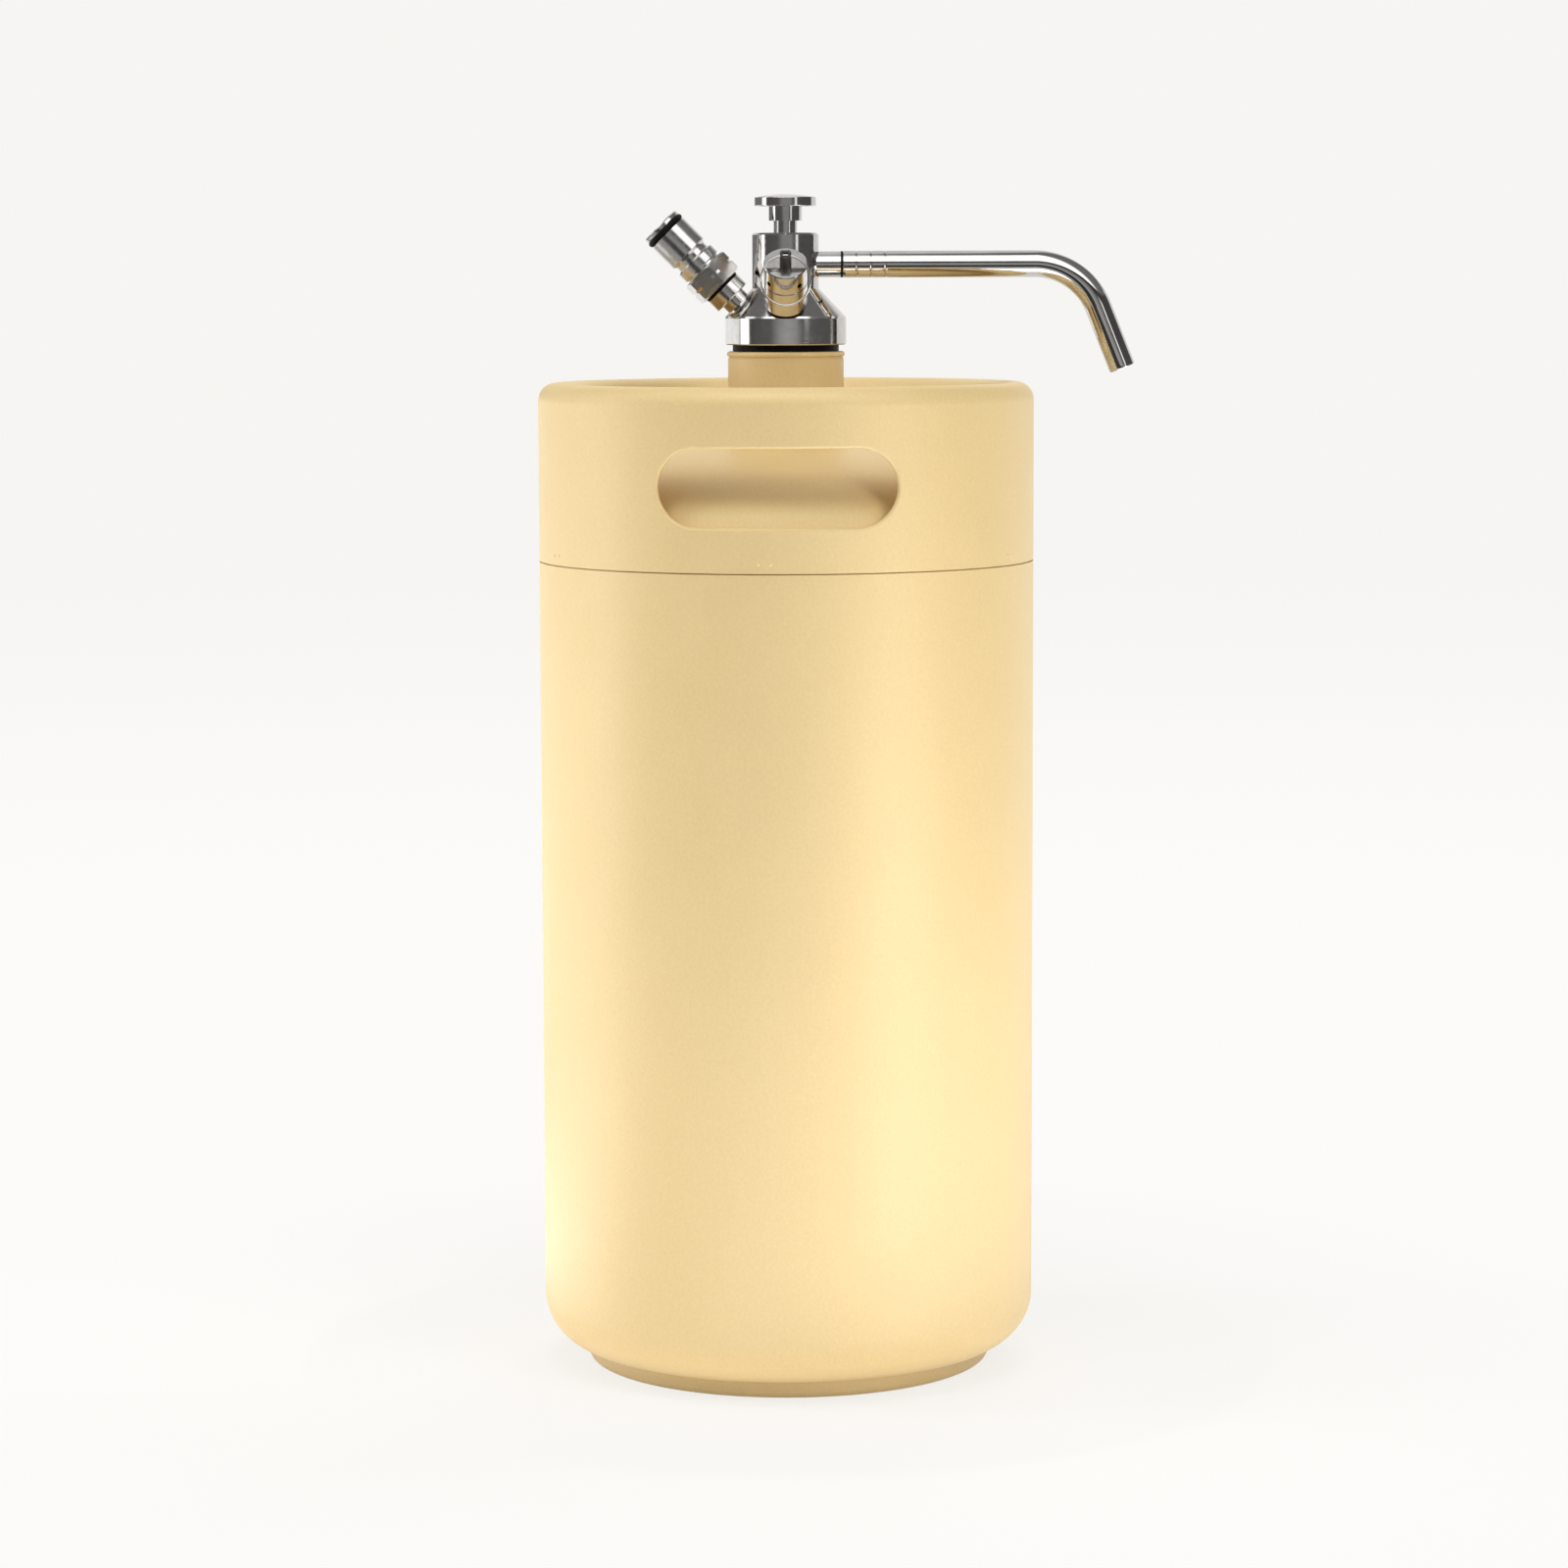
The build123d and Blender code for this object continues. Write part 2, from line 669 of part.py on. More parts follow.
stud_base = adapter_neck_length + adapter_length
stud_top = stud_base + adapter_stud_length
post_base = stud_base + post_seal_thickness
post_top = post_base + post_length
hex_top = post_base + post_hex_length
collar_base = hex_top + edge_break * 2
collar_top = collar_base + post_collar_length
barrel_base = collar_top + post_groove_length
ring_place = post_top - post_ring_drop
ring_seat = post_ring_radius - 2 * post_ring_section - touch
ring_low = ring_place - post_ring_section - post_ring_play
ring_high = ring_place + post_ring_section + post_ring_play
lip_radius = post_radius - post_lip_relief
post_chamber_top = post_top - post_mouth_length

with BuildPart() as post_adapter:
    with BuildSketch(gas_section):
        band(gas_bore, adapter_neck, -port_socket, adapter_neck_length)
        band(gas_bore, adapter_radius, adapter_neck_length, stud_base)
        band(gas_bore, adapter_stud, stud_base, stud_top)
    revolve(axis=gas_axis)
    chamfer(rims(post_adapter, adapter_radius), edge_break)
finish(post_adapter, "post_adapter")

with BuildPart() as post_seal:
    with BuildSketch(gas_section):
        band(adapter_stud + screwed, adapter_radius, stud_base, post_base)
    revolve(axis=gas_axis)
finish(post_seal, "post_seal")

with BuildPart() as gas_post:
    with BuildSketch(gas_port.offset(post_base)):
        RegularPolygon(post_hex / 2, 6, major_radius=False, rotation=post_hex_turn)
    extrude(amount=post_hex_length)
    corner = post_hex / 2 * hex_corner
    corner_rise = (corner - post_hex / 2) * post_hex_slope
    with BuildSketch(gas_section):
        with BuildLine():
            Polyline(
                (0, post_base),
                (post_hex / 2, post_base),
                (corner, post_base + corner_rise),
                (corner, hex_top - corner_rise),
                (post_hex / 2, hex_top),
                (0, hex_top),
                close=True,
            )
        make_face()
        notch_low = post_base + (post_hex_length - notch_width) / 2
        band(corner - notch_depth, corner, notch_low, notch_low + notch_width, mode=Mode.SUBTRACT)
    revolve(axis=gas_axis, mode=Mode.INTERSECT)
    with BuildSketch(gas_section):
        with BuildLine():
            Polyline(
                (0, hex_top),
                (post_collar_radius - edge_break * 2, hex_top),
                (post_collar_radius - edge_break * 2, collar_base),
                (post_collar_radius, collar_base + edge_break),
                (post_collar_radius, collar_top - edge_break),
                (post_groove_radius, collar_top + edge_break),
                (post_groove_radius, barrel_base - post_groove_flank),
                (post_radius, barrel_base),
                (post_radius, ring_low),
                (ring_seat, ring_low),
                (ring_seat, ring_high),
                (lip_radius, ring_high),
                (lip_radius, post_top - edge_break),
                (lip_radius - edge_break, post_top),
                (0, post_top),
                close=True,
            )
        make_face()
    revolve(axis=gas_axis)
    with BuildSketch(gas_section):
        band(0, adapter_stud + screwed, post_base, stud_top + edge_break)
        band(0, post_chamber, stud_top, post_chamber_top)
        with BuildLine():
            Polyline(
                (0, post_chamber_top),
                (post_mouth, post_chamber_top),
                (post_mouth, post_top - edge_break),
                (post_mouth + edge_break, post_top),
                (0, post_top),
                close=True,
            )
        make_face()
    revolve(axis=gas_axis, mode=Mode.SUBTRACT)
finish(gas_post, "gas_post")

with BuildPart() as post_o_ring:
    with BuildSketch(gas_section):
        cord_ring(post_ring_radius - post_ring_section, ring_place, post_ring_section)
    revolve(axis=gas_axis)
finish(post_o_ring, "post_o_ring")

poppet_flange_top = post_chamber_top - touch - poppet_seal_thickness
poppet_base = poppet_flange_top - poppet_flange_thickness

with BuildPart() as post_poppet:
    with BuildSketch(gas_section):
        band(0, poppet_flange, poppet_base, poppet_flange_top)
        band(0, poppet_radius, poppet_flange_top, post_top - poppet_drop)
    revolve(axis=gas_axis)
    pin_tip = post_poppet.edges().filter_by(GeomType.CIRCLE).sort_by(gas_axis)[-1]
    fillet(pin_tip, poppet_round)
finish(post_poppet, "post_poppet")

with BuildPart() as poppet_seal:
    with BuildSketch(gas_section):
        band(poppet_radius + touch, poppet_flange, poppet_flange_top, post_chamber_top - touch)
    revolve(axis=gas_axis)
finish(poppet_seal, "poppet_seal")

poppet_spring = coil_spring(gas_port, poppet_coil, small_wire, stud_top, poppet_base, poppet_turns)
finish(poppet_spring, "poppet_spring")

# Relief valve --------------------------------------------------------------------------------------------

relief_end = relief_base + relief_length
relief_split = relief_end - relief_cap_length
relief_ceiling = relief_end - relief_end_wall
relief_well = relief_base + relief_floor
nozzle_top = relief_well + relief_nozzle
relief_thread = relief_cavity + relief_thread_wall
relief_thread_top = relief_split + relief_thread_length
disc_top = nozzle_top + touch + relief_disc_thickness
flange_top = disc_top + relief_flange
pin_top = relief_end + relief_pin_reach

with BuildPart() as relief_seal:
    with BuildSketch(relief_section):
        band(relief_stub + screwed, relief_radius - 2 * edge_break, -spot_depth, relief_base)
    revolve(axis=relief_axis)
finish(relief_seal, "relief_seal")

with BuildPart() as relief_body:
    with BuildSketch(relief_section):
        with BuildLine():
            Polyline(
                (relief_orifice, -port_socket),
                (relief_stub, -port_socket),
                (relief_stub, relief_base),
                (relief_radius - relief_edge, relief_base),
                (relief_radius, relief_base + relief_edge),
                (relief_radius, relief_split - relief_edge),
                (relief_radius - relief_edge, relief_split),
                (relief_thread, relief_split),
                (relief_thread, relief_thread_top),
                (relief_cavity, relief_thread_top),
                (relief_cavity, relief_well),
                (relief_orifice + relief_nozzle, relief_well),
                (relief_orifice + relief_nozzle, nozzle_top),
                (relief_orifice, nozzle_top),
                close=True,
            )
        make_face()
    revolve(axis=relief_axis)
finish(relief_body, "relief_body")

with BuildPart() as relief_cap:
    with BuildSketch(relief_section):
        with BuildLine():
            Polyline(
                (relief_thread + screwed, relief_split),
                (relief_radius - relief_edge, relief_split),
                (relief_radius, relief_split + relief_edge),
                (relief_radius, relief_end - relief_edge),
                (relief_radius - relief_edge, relief_end),
                (relief_pin + running, relief_end),
                (relief_pin + running, relief_ceiling),
                (relief_cavity, relief_ceiling),
                (relief_cavity, relief_thread_top + touch),
                (relief_thread + screwed, relief_thread_top + touch),
                close=True,
            )
        make_face()
    revolve(axis=relief_axis)
    vent_plane = relief_port.offset(relief_end - relief_vent_depth)
    for quarter in range(4):
        turn = radians(-45 + relief_vent_turn + 90 * quarter)
        out = vent_plane.x_dir * sin(turn) - vent_plane.y_dir * cos(turn)
        with BuildSketch(Plane(origin=vent_plane.origin, z_dir=out)):
            Circle(relief_vent)
        extrude(amount=keg_radius, mode=Mode.SUBTRACT)
finish(relief_cap, "relief_cap")

eye = relief_port.offset(relief_end + relief_eye_height).origin

with BuildPart() as relief_stem:
    with BuildSketch(relief_section):
        band(0, relief_coil + small_wire, disc_top, flange_top)
        band(0, relief_pin, flange_top, pin_top)
    revolve(axis=relief_axis)
    chamfer(relief_stem.edges().filter_by(GeomType.CIRCLE).sort_by(relief_axis)[-1], edge_break)
    with BuildSketch(relief_port.offset(pin_top)):
        Rectangle(2 * relief_fork, 4 * relief_pin)
    extrude(amount=-relief_fork_depth, mode=Mode.SUBTRACT)
    with BuildSketch(Plane(origin=eye, z_dir=(1, 0, 0))):
        Circle(relief_eye)
    extrude(amount=2 * relief_pin, both=True, mode=Mode.SUBTRACT)
finish(relief_stem, "relief_stem")

with BuildPart() as relief_disc:
    with BuildSketch(relief_section):
        band(0, relief_coil, nozzle_top + touch, disc_top)
    revolve(axis=relief_axis)
finish(relief_disc, "relief_disc")

relief_spring = coil_spring(
    relief_port, relief_coil, small_wire, flange_top, relief_ceiling, relief_turns
)
finish(relief_spring, "relief_spring")

# The split ring's wire makes two turns side by side and steps back between them. The ring hangs in the eye,
# and its arc sags a little across the pin, so it sits half that sag high.
ring_sag = relief_pin**2 / (2 * ring_radius)
ring_centre = Vector(0, eye.Y, eye.Z - ring_radius + ring_sag / 2)
ring_plane = Plane(origin=ring_centre, x_dir=(1, 0, 0), z_dir=(0, -1, 0))
ring_step = ring_wire + touch / 2  # each turn's distance from the ring's middle plane


def ring_slice(turn, height):
    """Plane across the wire, at an angle round the ring and a height along its axis."""
    across = ring_plane.x_dir * cos(radians(turn)) + ring_plane.y_dir * sin(radians(turn))
    place = ring_centre + across * ring_radius + ring_plane.z_dir * height
    return Plane(origin=place, x_dir=across, z_dir=ring_plane.z_dir.cross(across))


with BuildPart() as relief_ring:
    for height in (ring_step, -ring_step):
        with BuildSketch(ring_slice(ring_end_turn, height)):
            Circle(ring_wire)
        revolve(axis=Axis(ring_centre, ring_plane.z_dir), revolution_arc=360 - ring_joggle)
    for place in range(ring_slices):
        share = place / (ring_slices - 1)
        with BuildSketch(ring_slice(ring_end_turn - ring_joggle * (1 - share), ring_step * cos(pi * share))):
            Circle(ring_wire)
    loft()
finish(relief_ring, "relief_ring")
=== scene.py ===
import json
import math

import bmesh
import bpy
import numpy as np
from mathutils import Matrix, Vector


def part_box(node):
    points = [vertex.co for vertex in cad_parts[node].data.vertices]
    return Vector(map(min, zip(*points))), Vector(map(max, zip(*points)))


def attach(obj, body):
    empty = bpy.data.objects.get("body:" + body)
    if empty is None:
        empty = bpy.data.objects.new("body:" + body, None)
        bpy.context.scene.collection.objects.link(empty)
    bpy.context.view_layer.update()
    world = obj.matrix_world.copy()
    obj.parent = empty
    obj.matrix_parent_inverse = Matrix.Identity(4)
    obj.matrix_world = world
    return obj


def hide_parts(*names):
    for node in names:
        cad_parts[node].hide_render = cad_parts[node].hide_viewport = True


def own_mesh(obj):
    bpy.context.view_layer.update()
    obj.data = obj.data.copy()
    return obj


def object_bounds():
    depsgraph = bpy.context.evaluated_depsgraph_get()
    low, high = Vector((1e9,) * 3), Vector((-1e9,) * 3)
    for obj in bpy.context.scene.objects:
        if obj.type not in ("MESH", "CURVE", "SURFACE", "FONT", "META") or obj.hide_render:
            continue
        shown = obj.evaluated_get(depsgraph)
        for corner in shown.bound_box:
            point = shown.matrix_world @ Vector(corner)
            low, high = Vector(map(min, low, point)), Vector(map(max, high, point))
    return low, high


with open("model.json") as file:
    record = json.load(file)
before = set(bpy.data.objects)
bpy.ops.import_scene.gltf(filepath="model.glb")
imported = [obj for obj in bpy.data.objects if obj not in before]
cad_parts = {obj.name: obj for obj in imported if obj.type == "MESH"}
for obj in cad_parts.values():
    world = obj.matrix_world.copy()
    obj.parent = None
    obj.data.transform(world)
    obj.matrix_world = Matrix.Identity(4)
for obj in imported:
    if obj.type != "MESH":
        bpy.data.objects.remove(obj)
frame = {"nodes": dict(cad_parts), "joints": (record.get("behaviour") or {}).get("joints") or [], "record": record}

scene = bpy.context.scene
nodes = frame["nodes"]
mm = 0.001
fullTurn = 2 * math.pi
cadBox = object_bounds()
print("frame loaded,", len(nodes), "nodes")


# a material with its shader and its object coordinates ready to use
def startMaterial(name):
    material = bpy.data.materials.new(name)
    material.use_nodes = True
    tree = material.node_tree
    shader = tree.nodes["Principled BSDF"]
    place = tree.nodes.new("ShaderNodeTexCoord").outputs["Object"]
    return material, tree, shader, place


# adds a node, sets its values and joins its sockets
def addNode(tree, kind, values=None, links=None, **settings):
    node = tree.nodes.new(kind)
    for key, value in settings.items():
        setattr(node, key, value)
    for key, value in (values or {}).items():
        node.inputs[key].default_value = value
    for key, socket in (links or {}).items():
        tree.links.new(socket, node.inputs[key])
    return node


# sets the shader's own sockets, whose names are written with underscores for spaces
def setShader(shader, **values):
    for key, value in values.items():
        shader.inputs[key.replace("_", " ")].default_value = value


noiseMiddle = (0.3, 0.7)  # most of a noise lies between these


# noise with so many waves in a metre, or in a turn of the tube's map, whose middle is spread over a range
def noiseBetween(tree, source, scale, low, high, detail=2.0, kind="3D"):
    socket = "W" if kind == "1D" else "Vector"
    values = {"Scale": scale, "Detail": detail}
    noise = addNode(tree, "ShaderNodeTexNoise", values, {socket: source}, noise_dimensions=kind)
    spread = {"From Min": noiseMiddle[0], "From Max": noiseMiddle[1], "To Min": low, "To Max": high}
    return addNode(tree, "ShaderNodeMapRange", spread, {"Value": noise.outputs["Fac"]}).outputs["Result"]


# a bump on the shader, over another one where that is given
def addBump(tree, shader, height, distance, under=None):
    links = {"Height": height}
    if under:
        links["Normal"] = under
    bump = addNode(tree, "ShaderNodeBump", {"Distance": distance, "Strength": 1.0}, links)
    tree.links.new(bump.outputs["Normal"], shader.inputs["Normal"])
    return bump.outputs["Normal"]


# two colours mixed by a socket
def mixColours(tree, share, first, second):
    mix = addNode(tree, "ShaderNodeMix", data_type="RGBA")
    tree.links.new(share, mix.inputs["Factor"])
    for name, colour in (("A", first), ("B", second)):
        sockets = [s for s in mix.inputs if s.name == name and s.type == "RGBA"]
        sockets[0].default_value = (*colour, 1)
    return [s for s in mix.outputs if s.type == "RGBA"][0]


coatLook = {
    "colour": (0.836, 0.623, 0.286),
    "shade": (0.76, 0.561, 0.253),  # where the powder lies a little thicker
    "cloudScale": 9.0,
    "speckSize": 1.1 * mm,
    "speckShare": 0.6,  # of the change from one colour to the other
    "roughness": (0.44, 0.50),
    "roughScale": 60.0,
    "peelSize": 1.3 * mm,
    "peelDepth": 0.018 * mm,
    "grainSize": 0.35 * mm,
    "grainDepth": 0.006 * mm,
    "specular": 1.0,
    "ior": 1.5,
}


# Powder paint: its colour is broad clouds with fine specks added, and its surface has the soft dimples of
# orange peel with a finer grain over them.
def powderCoat():
    material, tree, shader, place = startMaterial("powderCoat")
    share = coatLook["speckShare"]
    cloud = noiseBetween(tree, place, coatLook["cloudScale"], 0.0, 1.0, detail=4.0)
    speck = noiseBetween(tree, place, 1 / coatLook["speckSize"], 0.0, share)
    mottle = addNode(tree, "ShaderNodeMath", {1: 1 - share}, {0: cloud, 2: speck}, operation="MULTIPLY_ADD")
    colour = mixColours(tree, mottle.outputs[0], coatLook["colour"], coatLook["shade"])
    tree.links.new(colour, shader.inputs["Base Color"])
    rough = noiseBetween(tree, place, coatLook["roughScale"], *coatLook["roughness"])
    tree.links.new(rough, shader.inputs["Roughness"])
    peel = noiseBetween(tree, place, 1 / coatLook["peelSize"], 0.0, 1.0)
    grain = noiseBetween(tree, place, 1 / coatLook["grainSize"], 0.0, 1.0)
    first = addBump(tree, shader, peel, coatLook["peelDepth"])
    addBump(tree, shader, grain, coatLook["grainDepth"], under=first)
    setShader(shader, Specular_IOR_Level=coatLook["specular"], IOR=coatLook["ior"])
    return material


# turning marks are rings about an axis: one number grows along the axis and outwards from it, so that it
# draws lines round a cylinder and circles on a face
def ringCoordinate(tree, place, centre, axis):
    fromCentre = addNode(tree, "ShaderNodeVectorMath", {1: centre}, {0: place}, operation="SUBTRACT")
    along = addNode(
        tree, "ShaderNodeVectorMath", {1: axis}, {0: fromCentre.outputs[0]}, operation="DOT_PRODUCT"
    )
    onAxis = addNode(
        tree, "ShaderNodeVectorMath", {0: axis}, {"Scale": along.outputs["Value"]}, operation="SCALE"
    )
    across = addNode(
        tree,
        "ShaderNodeVectorMath",
        None,
        {0: fromCentre.outputs[0], 1: onAxis.outputs[0]},
        operation="SUBTRACT",
    )
    length = addNode(tree, "ShaderNodeVectorMath", None, {0: across.outputs[0]}, operation="LENGTH")
    total = addNode(
        tree,
        "ShaderNodeMath",
        None,
        {0: along.outputs["Value"], 1: length.outputs["Value"]},
        operation="ADD",
    )
    return total.outputs[0]


steelLook = {
    "colour": (0.63, 0.615, 0.595),
    "dull": (0.55, 0.535, 0.515),
    "cloudScale": 260.0,
    "markPitch": 0.12 * mm,
    "bandPitch": 1.44 * mm,  # wider bands, a little rougher or smoother
    "bandSpread": (0.8, 1.25),
}


# steel turned about an axis; depth is how deep its marks are
def turnedSteel(name, centre, axis, roughness=0.1, depth=0.0006 * mm, colour=None):
    material, tree, shader, place = startMaterial(name)
    rings = ringCoordinate(tree, place, centre, axis)
    marks = noiseBetween(tree, rings, 1 / steelLook["markPitch"], 0.0, 1.0, detail=3.0, kind="1D")
    bands = noiseBetween(tree, rings, 1 / steelLook["bandPitch"], *steelLook["bandSpread"], kind="1D")
    cloud = noiseBetween(tree, place, steelLook["cloudScale"], 0.0, 1.0, detail=4.0)
    tint = mixColours(tree, cloud, colour or steelLook["colour"], colour or steelLook["dull"])
    tree.links.new(tint, shader.inputs["Base Color"])
    rough = addNode(tree, "ShaderNodeMath", {1: roughness}, {0: bands}, operation="MULTIPLY")
    tree.links.new(rough.outputs[0], shader.inputs["Roughness"])
    addBump(tree, shader, marks, depth)
    setShader(shader, Metallic=1.0)
    return material


rubberLook = {
    "colour": (0.002, 0.002, 0.002),
    "worn": (0.004, 0.004, 0.004),
    "cloudScale": 300.0,
    "roughness": (0.45, 0.6),
    "roughScale": 800.0,
    "grainSize": 0.25 * mm,
    "grainDepth": 0.006 * mm,
    "specular": 0.12,
}


def blackRubber():
    material, tree, shader, place = startMaterial("blackRubber")
    cloud = noiseBetween(tree, place, rubberLook["cloudScale"], 0.0, 1.0, detail=4.0)
    colour = mixColours(tree, cloud, rubberLook["colour"], rubberLook["worn"])
    tree.links.new(colour, shader.inputs["Base Color"])
    rough = noiseBetween(tree, place, rubberLook["roughScale"], *rubberLook["roughness"])
    tree.links.new(rough, shader.inputs["Roughness"])
    grain = noiseBetween(tree, place, 1 / rubberLook["grainSize"], 0.0, 1.0)
    addBump(tree, shader, grain, rubberLook["grainDepth"])
    setShader(shader, Specular_IOR_Level=rubberLook["specular"])
    return material


wireLook = {"cloudScale": 700.0, "roughness": (0.14, 0.24), "roughScale": 1500.0}


# bright wire, brighter in some places than in others
def springWire():
    material, tree, shader, place = startMaterial("springWire")
    cloud = noiseBetween(tree, place, wireLook["cloudScale"], 0.0, 1.0, detail=4.0)
    colour = mixColours(tree, cloud, steelLook["colour"], steelLook["dull"])
    tree.links.new(colour, shader.inputs["Base Color"])
    rough = noiseBetween(tree, place, wireLook["roughScale"], *wireLook["roughness"])
    tree.links.new(rough, shader.inputs["Roughness"])
    setShader(shader, Metallic=1.0)
    return material


tubeLook = {
    "linesPerTurn": 90.0,
    "lineDepth": 0.0006 * mm,
    "cloudScale": 120.0,
    "roughness": (0.06, 0.1),
    "roughScale": 200.0,
}


# polished tube: faint lines run along it, so they follow the first number of its own map
def drawnTube():
    material, tree, shader, place = startMaterial("drawnTube")
    uv = addNode(tree, "ShaderNodeUVMap", uv_map="tubeMap").outputs["UV"]
    split = addNode(tree, "ShaderNodeSeparateXYZ", None, {0: uv})
    lines = noiseBetween(tree, split.outputs["X"], tubeLook["linesPerTurn"], 0.0, 1.0, detail=4.0, kind="1D")
    cloud = noiseBetween(tree, place, tubeLook["cloudScale"], 0.0, 1.0, detail=5.0)
    colour = mixColours(tree, cloud, steelLook["colour"], steelLook["dull"])
    tree.links.new(colour, shader.inputs["Base Color"])
    rough = noiseBetween(tree, place, tubeLook["roughScale"], *tubeLook["roughness"])
    tree.links.new(rough, shader.inputs["Roughness"])
    addBump(tree, shader, lines, tubeLook["lineDepth"])
    setShader(shader, Metallic=1.0)
    return material


weldReach = 1e-7  # metres


# A grid of points, or several grids alike, becomes quads. A wrapped direction joins its last row or column
# to its first, and welding closes a pole or a seam where points lie on each other.
def gridPiece(name, points, wrapRows=False, wrapColumns=False, sharpAngle=40, tubeMap=None, weld=False):
    rows, columns = points.shape[-3:-1]
    index = np.arange(points.size // 3).reshape(-1, rows, columns)
    index = np.concatenate([index, index[:, :1]], axis=1) if wrapRows else index
    index = np.concatenate([index, index[:, :, :1]], axis=2) if wrapColumns else index
    corners = [index[:, :-1, :-1], index[:, :-1, 1:], index[:, 1:, 1:], index[:, 1:, :-1]]
    quads = np.stack(corners, axis=-1).reshape(-1, 4)
    mesh = bpy.data.meshes.new(name)
    mesh.vertices.add(points.size // 3)
    mesh.vertices.foreach_set("co", points.astype(np.float32).ravel())
    mesh.loops.add(quads.size)
    mesh.loops.foreach_set("vertex_index", quads.astype(np.int32).ravel())
    mesh.polygons.add(len(quads))
    mesh.polygons.foreach_set("loop_start", np.arange(0, quads.size, 4, dtype=np.int32))
    mesh.update(calc_edges=True)
    if tubeMap is not None:
        layer = mesh.uv_layers.new(name="tubeMap")
        layer.data.foreach_set("uv", tubeMap.reshape(-1, 2)[quads.ravel()].astype(np.float32).ravel())
    if weld:
        work = bmesh.new()
        work.from_mesh(mesh)
        bmesh.ops.remove_doubles(work, verts=work.verts, dist=weldReach)
        work.to_mesh(mesh)
        work.free()
    mesh.validate()
    mesh.shade_smooth()
    mesh.set_sharp_from_angle(angle=math.radians(sharpAngle))
    piece = bpy.data.objects.new(name, mesh)
    scene.collection.objects.link(piece)
    return piece


# 0 to 1 as three squares less two cubes, level at both ends
def smoothStep(share):
    share = np.clip(share, 0, 1)
    return share * share * (3 - 2 * share)


# An outline whose corners are rounded, each by an arc that touches both its edges. The arc's centre lies on
# the line that halves the corner, and its points are those of its chord, moved out to the radius.
def roundOutline(corners, radii, steps=6):
    corners = np.array(corners, float)
    previous, following = np.roll(corners, 1, 0), np.roll(corners, -1, 0)
    parts = []
    for corner, before, after, radius in zip(corners, previous, following, radii):
        back = (before - corner) / np.linalg.norm(before - corner)
        ahead = (after - corner) / np.linalg.norm(after - corner)
        half = math.acos(np.clip(back @ ahead, -1, 1)) / 2
        middle = (back + ahead) / np.linalg.norm(back + ahead)
        centre = corner + middle * radius / math.sin(half)
        first = corner + back * radius / math.tan(half) - centre
        last = corner + ahead * radius / math.tan(half) - centre
        share = np.linspace(0, 1, steps)[:, None]
        sweep = first * (1 - share) + last * share
        parts.append(centre + sweep * (radius / np.linalg.norm(sweep, axis=1, keepdims=True)))
    return np.vstack(parts)


# the places and directions of the axes that the parts are turned about
joints = {joint["name"]: joint for joint in frame["joints"]}
gasMount = [mount for mount in frame["record"]["mounts"] if mount["name"] == "gas_inlet"][0]
gasPlace, gasAxis = tuple(gasMount["pos_m"]), tuple(gasMount["axis"])
eyePlace = tuple(joints["ring_swing"]["pos_m"])
reliefAxis = (0.0, gasAxis[0], gasAxis[2])  # it leans forwards as the post leans to the left
nippleLow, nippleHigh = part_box("outlet_nipple")
outletPlace = (0.0, 0.0, (nippleLow.z + nippleHigh.z) / 2)
origin = (0.0, 0.0, 0.0)
axisUp = (0.0, 0.0, 1.0)
axisRight = (1.0, 0.0, 0.0)

coat = powderCoat()
rubber = blackRubber()
springSteel = springWire()
tube = drawnTube()
capSteel = turnedSteel("capSteel", origin, axisUp)
stemSteel = turnedSteel("stemSteel", origin, axisUp, roughness=0.12)
nippleSteel = turnedSteel("nippleSteel", outletPlace, axisRight, roughness=0.12)
postSteel = turnedSteel("postSteel", gasPlace, gasAxis, roughness=0.18, depth=0.0003 * mm)
reliefSteel = turnedSteel("reliefSteel", eyePlace, reliefAxis, roughness=0.16, depth=0.0008 * mm)
pinColour = (0.1, 0.097, 0.093)
pinSteel = turnedSteel("pinSteel", eyePlace, reliefAxis, roughness=0.42, depth=0.001 * mm, colour=pinColour)

finishes = {
    coat: ("vessel_shell", "vessel_head", "top_chime", "foot_ring", "neck_collar"),
    rubber: (
        "neck_gasket",
        "stem_o_rings",
        "valve_washer",
        "dip_tube_o_ring",
        "spout_o_rings",
        "spout_washer",
        "post_seal",
        "post_o_ring",
        "poppet_seal",
        "relief_seal",
        "relief_disc",
    ),
    springSteel: ("valve_spring", "poppet_spring", "relief_spring", "relief_ring"),
    capSteel: ("tap_body", "valve_knob"),
    stemSteel: ("valve_stem", "dip_tube", "dip_tube_nut"),
    nippleSteel: ("outlet_nipple", "spout"),
    postSteel: ("gas_post", "post_adapter", "post_poppet"),
    reliefSteel: ("relief_body", "relief_cap"),
    pinSteel: ("relief_stem",),
}
for material, names in finishes.items():
    for name in names:
        mesh = nodes[name].data
        mesh.materials.clear()
        mesh.materials.append(material)
print("finishes on the carried-over nodes")


# rows no further apart than a step, put in along a closed outline
def denser(outline, step):
    closed = np.vstack([outline, outline[:1]])
    place = np.concatenate([[0], np.cumsum(np.linalg.norm(np.diff(closed, axis=0), axis=1))])
    finer = np.union1d(place, np.arange(0, place[-1], step))[:-1]
    return np.stack([np.interp(finer, place, closed[:, k]) for k in (0, 1)], axis=-1)


# A profile of (radius, height) points turned about the keg's axis. It runs up the outside and down the
# inside, so that the faces point outwards.
def turnedPoints(profile, columns=160):
    turns = np.linspace(0, fullTurn, columns, endpoint=False)[None, :]
    radius, height = profile[:, :1], profile[:, 1:]
    return np.stack([radius * np.cos(turns), radius * np.sin(turns), height + 0 * turns], axis=-1)


